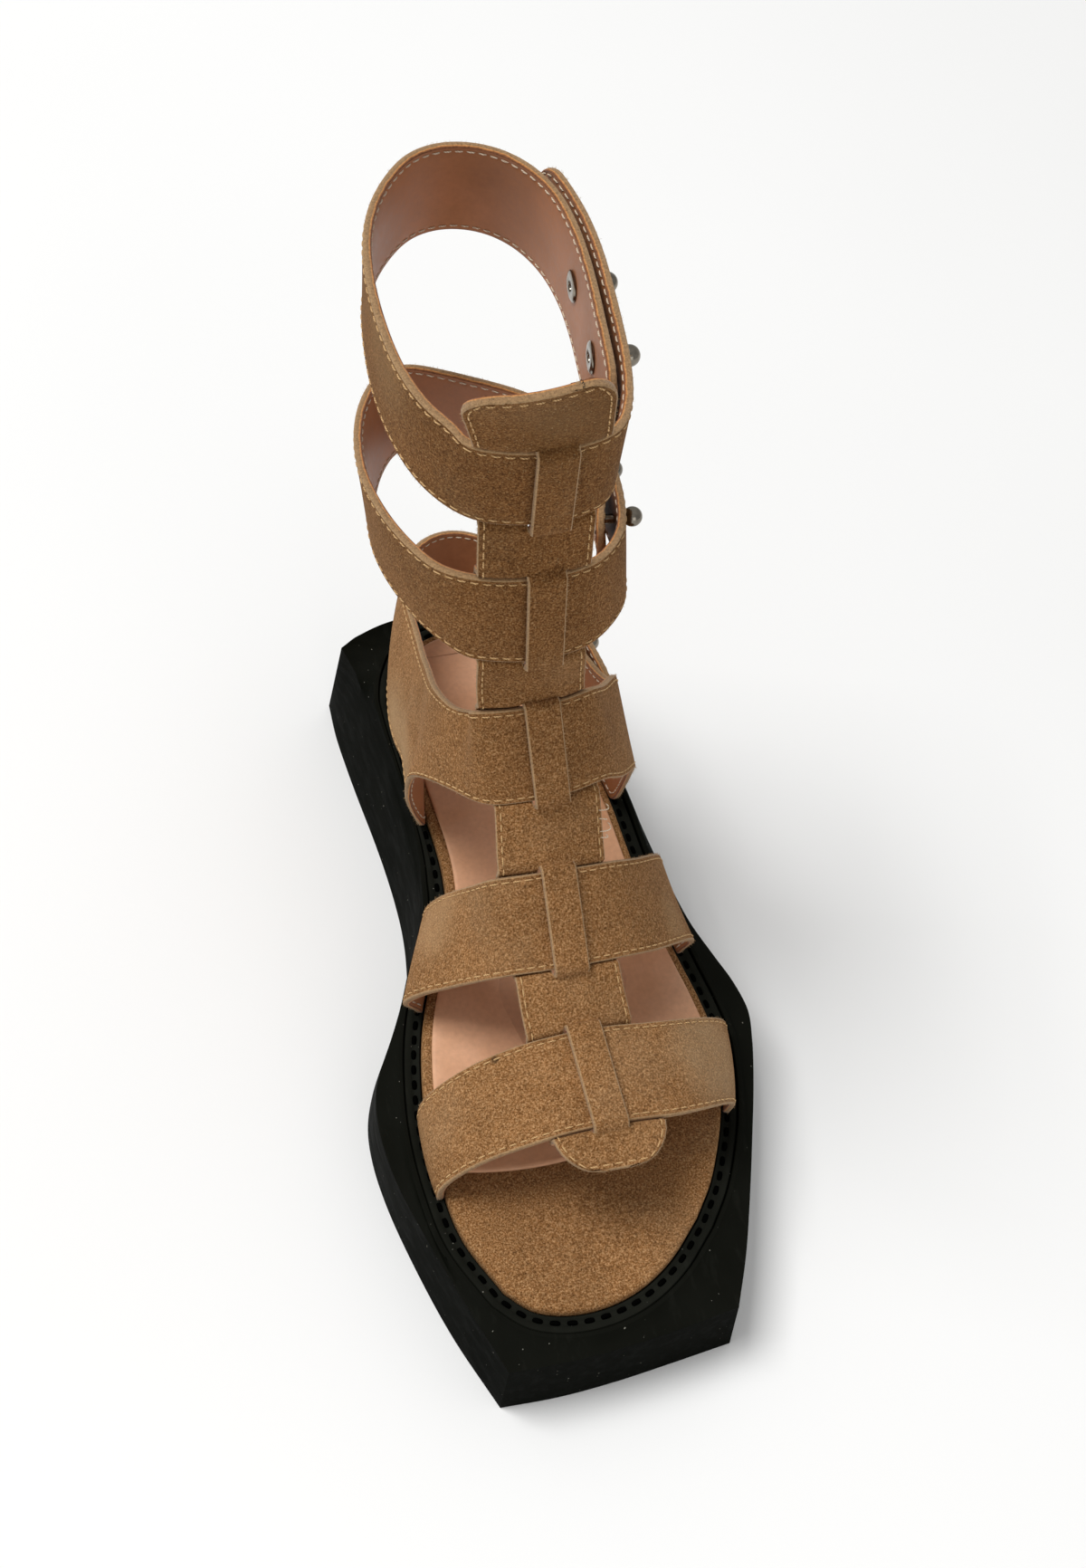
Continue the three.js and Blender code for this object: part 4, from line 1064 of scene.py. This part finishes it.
def flap_lean(at, offsets, share):
    """Moves of the flap's points at a share of its length: its outer side is drawn up.

    The lift grows with the share to the power of 1.5, and across with the side to the power of 1.6.
    """
    side = (offsets + at["inner"]) / (at["inner"] + at["outer"])
    along = np.cross(at["out"], at["across"])
    lift = mix(FLAP_LIFT[0], FLAP_LIFT[1], side ** 1.6) * share ** 1.5
    return -along * lift[:, None] * np.sign(-along[2]) + at["across"] * FLAP_SHIFT * share


def tongue_rows():
    """Rows of the tongue: its spine's row and share, how far open, and distance to a free end."""
    rows = []
    for k in range(FLAP + 1):
        length = spine_frame(k, 0)["length"]
        margin, slack = SLIT_MARGIN / length, (SLIT_MARGIN + SLIT_SLACK) / length
        if is_crossing(k):
            rows += [(k, t, 1.0, None) for t in np.linspace(-margin, 1 + margin, 16)]
            continue
        start = 0.0 if k == 0 else slack
        stop = 1.0 if k == FLAP else 1 - slack
        steps = np.linspace(start, stop, max(6, int(length * (stop - start) / TONGUE_STEP)))
        if k > 0:
            steps = np.concatenate([[slack * PARTING], steps])
        if k < FLAP:
            steps = np.concatenate([steps, [1 - slack * PARTING]])
        if k == 0:
            steps = np.unique(np.concatenate([steps, END_ROWS / length]))
        if k == FLAP:
            steps = np.unique(np.concatenate([steps, 1 - END_ROWS / length]))
        for t in steps:
            slit = 0.0
            if k > 0 and t < slack:
                slit = (slack - t) / (slack - margin)
            if k < FLAP and t > 1 - slack:
                slit = (t - 1 + slack) / (slack - margin)
            distance = {0: t * length, FLAP: (1 - t) * length}.get(k)
            rows.append((k, t, slit, distance))
    return rows


def tongue():
    """Build the tongue as one sheet whose three strips part at the slits."""
    rows = tongue_rows()
    slit = BRIDGE_WIDTH / 2
    points, grid = [], []

    def keep(at, offsets, level):
        """Add points beside the spine at a level, and return their numbers."""
        first = sum(len(row) for row in points)
        row = beside(at, offsets, level)
        if at["flap"] > 0:
            row = row + flap_lean(at, offsets, at["flap"])
        points.append(row)
        return np.arange(first, first + len(row))

    quarters = np.linspace(0, 1, 5)
    inside = np.concatenate([[-slit, -slit + 0.6], np.linspace(-slit + 1.4, slit - 1.4, 7),
                             [slit - 0.6, slit]])
    for k, t, open_share, distance in rows:
        at = spine_frame(k, t)
        at["flap"] = t if k == FLAP else 0.0
        inner, outer = at["inner"], at["outer"]
        if distance is not None:
            radius = TAB_ROUND if k == 0 else FLAP_ROUND
            inner = corner_round(distance, radius, inner)
            outer = corner_round(distance, radius, outer)
        ease = open_share * open_share * (3 - 2 * open_share)
        wing = mix(TONGUE_LIFT, -WEAVE_LEVEL, ease)
        bridge = mix(TONGUE_LIFT, WEAVE_LEVEL, ease)
        inset = EDGE_ROWS * min(1.0, inner / EDGE_ROOM)
        left_end = mix(-inner + inset[-1], -slit, quarters[1:])
        left = keep(at, np.concatenate([-inner + inset, left_end]), wing)
        inset = EDGE_ROWS * min(1.0, outer / EDGE_ROOM)
        right_start = slit + (outer - inset[-1] - slit) * quarters[:-1]
        right = keep(at, np.concatenate([right_start, outer - inset[::-1]]), wing)
        if open_share > 0:
            centre = keep(at, inside, bridge)
        else:
            centre = np.concatenate([left[-1:], keep(at, inside[1:-1], TONGUE_LIFT), right[:1]])
        grid.append((left, centre, right))

    points = np.vstack(points)
    quads = np.vstack([np.stack([a[:-1], a[1:], b[1:], b[:-1]], 1)
                       for low, high in zip(grid[:-1], grid[1:]) for a, b in zip(low, high)])
    dip = np.zeros(len(points))
    for left, _, right in grid:
        for strip, column in ((left, STITCH_ROW), (right, len(right) - 1 - STITCH_ROW)):
            dip[strip[column]] = STITCH_DIP
            dip[strip[[column - 1, column + 1]]] = SHOULDER_DIP
    half = TONGUE_THICKNESS / 2
    shell_points, faces, slots, level, normals = shell(points, quads, half, dip)
    piece = make_object("tongue_suede", shell_points, faces, [SUEDE, LINING, EDGE], slots, level)
    settle(piece, "suede", "tongue")

    ends = [i for i, (_, _, _, distance) in enumerate(rows)
            if distance is not None and abs(distance - STITCH_INSET) < 0.05]
    body = grid[ends[0]:ends[-1] + 1]
    seams = [np.array([left[STITCH_ROW] for left, _, _ in body]),
             np.array([right[-1 - STITCH_ROW] for _, _, right in body])]
    for i in ends:
        left, centre, right = grid[i]
        seams.append(np.concatenate([left, centre[1:-1], right])[STITCH_ROW:-STITCH_ROW])
    for seam in seams:
        sew(points[seam], normals[seam], half)


tongue()


def tube(path, radius):
    """Thin round tube along a path: rings square to the path, small at both ends."""
    run = unit(np.gradient(path, axis=0))
    side = unit(np.cross(run, [0.3, 0.9, 0.2]))
    other = np.cross(run, side)
    angle = (2 * math.pi * np.arange(STITCH_SIDES) / STITCH_SIDES)[None, :, None]
    taper = np.ones(len(path)) * radius
    taper[[0, -1]] *= 0.3
    circle = side[:, None] * np.cos(angle) + other[:, None] * np.sin(angle)
    rings = path[:, None] + circle * taper[:, None, None]
    return rings.reshape(-1, 3), ring_quads(len(path), STITCH_SIDES)


# Loose thread ends: share of the way between the instep strap and the quarter, reach, turn
LOOSE_THREADS = ((0.36, 2.0, 0.5), (0.44, 3.0, 1.2), (0.6, 2.0, -0.3), (0.7, 2.8, 0.9))
LOOSE_RADIUS = 0.17


def loose_threads():
    """Add the thread ends that stand out of the tongue's outer edge, each a bow that turns up."""
    share = np.linspace(0, 1, 12)[:, None]
    for t, reach, turn in LOOSE_THREADS:
        at = spine_frame(CROSSINGS["instep"] + 1, t)
        along = np.cross(at["out"], at["across"])
        root = beside(at, [at["outer"] - 0.8], TONGUE_LIFT + TONGUE_THICKNESS / 2)
        path = root + at["across"] * reach * np.sin(share * 2.2)
        path = path + at["out"] * 1.3 * np.sin(share * math.pi)
        path = path + along * reach * 0.7 * turn * share ** 2
        inside_thread.add(*tube(path, LOOSE_RADIUS))


loose_threads()


# Real fibres are finer and closer, and are drawn this thick to show
FIBRES_PER_MM = 2.6
FIBRE_RADIUS = 0.055


def edge_fibres():
    """Short fibres on the raw edges: three-sided cones rooted at random along each edge.

    A root lies on the suede's half of the edge. Its tip is 0.3 to 0.9 mm away, outward with a
    random lean. The random numbers have a fixed seed.
    """
    chance = np.random.default_rng(5)
    roots, leans = [], []
    for a, b, out, normal in RAW_EDGES:
        count = chance.poisson(np.linalg.norm(b - a, axis=1) * FIBRES_PER_MM)
        pick = np.repeat(np.arange(len(a)), count)
        along = chance.random((len(pick), 1))
        level = chance.uniform(-0.1, 0.95, (len(pick), 1))
        across = normal[pick] * STRAP_THICKNESS / 2 * level - out[pick] * 0.12
        roots.append(mix(a[pick], b[pick], along) + across)
        lean = out[pick] + normal[pick] * (level - 0.3) * 0.8 + chance.normal(0, 0.4, (len(pick), 3))
        leans.append(unit(lean) * chance.uniform(0.3, 0.9, (len(pick), 1)))
    roots, leans = np.vstack(roots), np.vstack(leans)
    side = unit(np.cross(leans, chance.normal(0, 1, leans.shape)))
    other = unit(np.cross(leans, side))
    angle = (2 * math.pi * np.arange(3) / 3)[None, :, None]
    circle = side[:, None] * np.cos(angle) + other[:, None] * np.sin(angle)
    ring = roots[:, None] + FIBRE_RADIUS * circle
    points = np.concatenate([ring, (roots + leans)[:, None]], 1).reshape(-1, 3)
    first = 4 * np.arange(len(roots))[:, None]
    faces = np.vstack([first + [0, 1, 3], first + [1, 2, 3], first + [2, 0, 3]])
    settle(make_object("raw_edge_fibres", points, faces, [FIBRE]), "suede")


edge_fibres()
outside_thread.make("outer_stitches", GOLD_THREAD, "suede")
inside_thread.make("lining_stitches", CREAM_THREAD, "suede")

# Studs


def lathe(profile, sides, base, axis):
    """Turn a profile of radius and height about an axis."""
    axis = unit(axis)
    side = unit(np.cross(axis, [0.0, 0.0, 1.0]))
    other = np.cross(axis, side)
    angle = 2 * math.pi * np.arange(sides) / sides
    ring = side[None] * np.cos(angle)[:, None] + other[None] * np.sin(angle)[:, None]
    profile = np.array(profile, float)
    points = base + axis * profile[:, 1, None, None] + ring[None] * profile[:, 0, None, None]
    faces = ring_quads(len(profile), sides).tolist()
    faces.append(list(range(sides))[::-1])
    faces.append(list(range((len(profile) - 1) * sides, len(profile) * sides)))
    return points.reshape(-1, 3), faces


# Disc inside the strap: radius and height above the lining, from its socket round to the post
DISC = [(1.15, -0.1), (1.25, -0.6), (1.5, -0.85), (2.8, -0.85), (3.7, -0.7), (4.1, -0.4), (4.05, -0.25),
        (STUD_POST / 2, -0.2)]
# Collar under the ball: radius and height above the suede
COLLAR = [(STUD_POST / 2, 0.15), (2.2, 0.2), (2.2, 0.4), (1.4, 0.5), (1.2, 0.55)]
NECK_RADIUS = 1.2
BALL_LIFT = 0.25
# How far a ray starts before the strap, and how far it may go, in metres
RAY_START = 0.01
RAY_REACH = 0.03
RAY_STEP = 1e-5


def stud(name, node, carrier, row):
    """Build a ball stud square to the strap's inside face, with a socketed disc inside.

    A ray finds the strap's inside face, and a second one, square to it, how thick the layers are.
    """
    x, y, z, turn = row
    tree = BVHTree.FromPolygons([v.co[:] for v in carrier.data.vertices],
                                [p.vertices[:] for p in carrier.data.polygons])
    level = Vector((math.cos(math.radians(turn)), math.sin(math.radians(turn)), 0))
    centre = Vector((point_at(x, y, z) - MIDDLE) * MM)
    point, normal, _, _ = tree.ray_cast(centre - level * RAY_START, level, RAY_REACH)
    out = -normal if normal.dot(level) < 0 else normal
    reach, seen = 0.0, point - out * RAY_START
    hit, _, _, distance = tree.ray_cast(seen, out, RAY_REACH)
    while hit is not None:
        reach += distance + RAY_STEP
        seen = hit + out * RAY_STEP
        hit, _, _, distance = tree.ray_cast(seen, out, RAY_REACH - reach)
    through = (reach - RAY_START) / MM
    ball = STUD_BALL / 2
    middle = through + BALL_LIFT + ball
    profile = DISC + [(radius, through + up) for radius, up in COLLAR]
    for angle in np.linspace(math.pi - math.asin(NECK_RADIUS / ball), 0.06, 18):
        profile.append((ball * math.sin(angle), middle + ball * math.cos(angle)))
    points, faces = lathe(profile, 36, np.array(point) / MM + MIDDLE, np.array(out))
    piece = make_object(name, points, faces, [METAL], sharp=50)
    settle(face_out(piece), "nickel", node)


for group_name, carrier in (("quarter", quarter), ("lower", lower_ankle), ("top", top_ankle)):
    for number, row in enumerate(STUDS[group_name], 1):
        stud(f"ball_stud_{group_name}_{number}", f"stud_{group_name}_{number}", carrier, row)

# Sole, welt, insole, sock


def rung_grid(ring, columns):
    """Grid over a ring: rungs from its toe middle to its heel middle, each cut in columns."""
    index = np.arange(1, len(ring) // 2)
    left = ring[(TOE_MIDDLE - index) % len(ring)]
    right = ring[(TOE_MIDDLE + index) % len(ring)]
    share = np.linspace(0, 1, columns)[None, :, None]
    return left[:, None] * (1 - share) + right[:, None] * share


def capped_rings(rings, columns, sink=0.0):
    """Stacked rings closed flat below and by a grid on top, whose ends are fans.

    The grid sinks by sink * (1 - share ** 2) ** 2, with share from -1 to 1 across it.
    """
    count = len(rings[0])
    grid = rung_grid(rings[-1], columns)
    across = np.linspace(-1, 1, columns)[None, :]
    grid[..., 2] -= sink * (1 - across ** 2) ** 2
    base = (len(rings) - 1) * count
    index = np.arange(1, count // 2)
    table = np.empty((len(grid), columns), int)
    table[:, 0] = base + (TOE_MIDDLE - index) % count
    table[:, -1] = base + (TOE_MIDDLE + index) % count
    inner = np.arange(len(grid) * (columns - 2)).reshape(len(grid), columns - 2)
    table[:, 1:-1] = len(rings) * count + inner
    cap = np.stack([table[:-1, :-1], table[:-1, 1:], table[1:, 1:], table[1:, :-1]], -1)
    faces = ring_quads(len(rings), count).tolist() + cap.reshape(-1, 4).tolist()
    toe, heel = base + TOE_MIDDLE, base + (TOE_MIDDLE + count // 2) % count
    faces.append([toe] + table[0].tolist()[::-1])
    faces.append([heel] + table[-1].tolist())
    faces.append(list(range(count))[::-1])
    return np.vstack(rings + [grid[:, 1:-1].reshape(-1, 3)]), faces


# Angle past which an edge of the sole is sharp, and how far such an edge is worn round
SOLE_CORNER = 24
SOLE_WEAR = 0.8


def outsole():
    """Outsole: floor ring, flared wall, crease, faceted top, raised rim, groove and seat."""
    groove = offset_ring(WELT_WIDTH, WELT_ROOM, GAP)
    rim = offset_ring(WELT_WIDTH + GAP + RIM_WIDTH, RIM_ROOM)
    crease = lifted(CREASE_RING, crease_height(CREASE_RING[:, 1]))

    def top(ring, drop):
        """A ring at the height of the raised rim, less a drop."""
        return lifted(ring, welt_top(ring[:, 1]) + RIM_RISE - drop)

    rings = [FLOOR_RING]
    rings += [mix(FLOOR_RING, crease, share) for share in np.linspace(0, 1, 8)[1:-1]]
    rings.append(crease)
    for share in np.linspace(0, 1, 6)[1:-1]:
        facet = mix(crease, top(rim, 0.25), share)
        facet[:, 2] -= 0.35 * math.sin(math.pi * share)
        rings.append(facet)
    rings += [top(rim, 0.25), top(mix(rim, groove, 0.25), 0.0)]
    rings += [top(mix(rim, groove, 0.85), 0.0), top(groove, 0.2)]
    rings.append(lifted(groove, welt_top(groove[:, 1]) - WELT_THICKNESS - GAP))
    seat_height = insole_height(INSOLE_RING[:, 1]) - INSOLE_THICKNESS - SEAT_GAP
    rings.append(lifted(mix(groove, INSOLE_RING, 0.2), seat_height))
    points, faces = capped_rings(rings, 5)
    piece = make_object("outsole_rubber", points, faces, [SOLE], sharp=SOLE_CORNER)
    bevel = piece.modifiers.new("worn_corners", "BEVEL")
    bevel.width = SOLE_WEAR * MM
    bevel.segments = 3
    bevel.limit_method = "ANGLE"
    bevel.angle_limit = math.radians(SOLE_CORNER)
    settle(face_out(piece), "sole_rubber", "outsole")


# Section of the welt: share of its width, and drop below its top. Its stitch channel is sunk.
WELT_SECTION = [(0, -0.3), (0.05, 0), (0.16, 0.02), (0.24, -0.28), (0.4, -0.4), (0.56, -0.28),
                (0.64, 0.02), (0.94, 0), (1, -0.3), (1, -WELT_THICKNESS), (0, -WELT_THICKNESS)]
WELT_CHANNEL = 0.4


def welt():
    """Welt: a ribbon round the insole, with long stitches of thick thread in its channel."""
    inside, outside = offset_ring(GAP), offset_ring(WELT_WIDTH, WELT_ROOM)
    rings = []
    for share, drop in WELT_SECTION:
        ring = mix(inside, outside, share)
        rings.append(lifted(ring, welt_top(ring[:, 1]) + drop))
    faces = ring_quads(len(rings), len(inside), closed=True)
    piece = make_object("welt_strip", np.vstack(rings), faces, [WELT], sharp=40)
    settle(face_out(piece), "welt_rubber", "welt")
    line = mix(inside, outside, WELT_CHANNEL)
    line = lifted(line, welt_top(line[:, 1]))
    line = np.vstack([line, line[:1]])
    out = np.tile([0.0, 0.0, 1.0], (len(line), 1))
    threads = Threads()
    # Near-black stitches: partly real thread, partly painted shade in the welt's stitch holes
    threads.add(*stitches(line, out, -0.25, pitch=4.9, length=3.2, radius=0.75))
    threads.make("welt_stitches", BLACK_THREAD, "welt_rubber")


def ring_inset(distance):
    """The insole's ring moved inward."""
    return INSOLE_RING - RING_OUT * distance


# Edges from the bottom up, rolled over at the top: distance inward, and height
INSOLE_SECTION = [(0.35, -INSOLE_THICKNESS + 0.1), (0, -INSOLE_THICKNESS + 0.6), (0, -1.6), (0.12, -0.95),
                  (0.5, -0.42), (1.1, -0.1), (1.9, 0)]
SOCK_SECTION = [(0, 0.3), (0, 0.75), (0.15, 1.1), (0.5, 1.3), (1.1, 1.4)]
INSOLE_DISH = 0.25
SOCK_DISH = 0.22
# Front edge of the sock: along, the across where it reaches furthest forward, and its bow, in parts
SOCK_FRONT = (50.0, 20.0, 0.0055)


def insole():
    """Insole: wrapped edge rolled over the top, with a faint dish inside."""
    heights = insole_height(INSOLE_RING[:, 1])
    rings = [lifted(ring_inset(distance), heights + up) for distance, up in INSOLE_SECTION]
    points, faces = capped_rings(rings, 25, INSOLE_DISH)
    piece = make_object("insole_suede", points, faces, [SUEDE])
    settle(face_out(piece), "suede", "insole")


def sock():
    """Sock: thin leather behind a bowed front edge, along + bow * (x - across) ** 2, rolled over."""
    along, across, bow = SOCK_FRONT
    rings = []
    for distance, up in SOCK_SECTION:
        ring = ring_inset(SOCK_MARGIN + distance)
        front = (along + bow * (ring[:, 0] / ACROSS - across) ** 2) * ALONG + distance
        ring[:, 1] = np.maximum(ring[:, 1], front)
        rings.append(lifted(ring, insole_height(ring[:, 1]) + up))
    points, faces = capped_rings(rings, 25, SOCK_DISH)
    piece = make_object("sock_leather", points, faces, [SOCK])
    settle(face_out(piece), "sock_leather", "sock")


outsole()
welt()
insole()
sock()

# Floor

# Metres to each side, and a hair below the sole
FLOOR_REACH = 6
FLOOR_DROP = 0.0002
floor_mesh = bpy.data.meshes.new("studio_floor")
corners = [(FLOOR_REACH * x, FLOOR_REACH * y, -FLOOR_DROP)
           for x, y in ((-1, -1), (1, -1), (1, 1), (-1, 1))]
floor_mesh.from_pydata(corners, [], [(0, 1, 2, 3)])
floor_mesh.materials.append(FLOOR)
floor_object = bpy.data.objects.new("studio_floor", floor_mesh)
bpy.context.scene.collection.objects.link(floor_object)
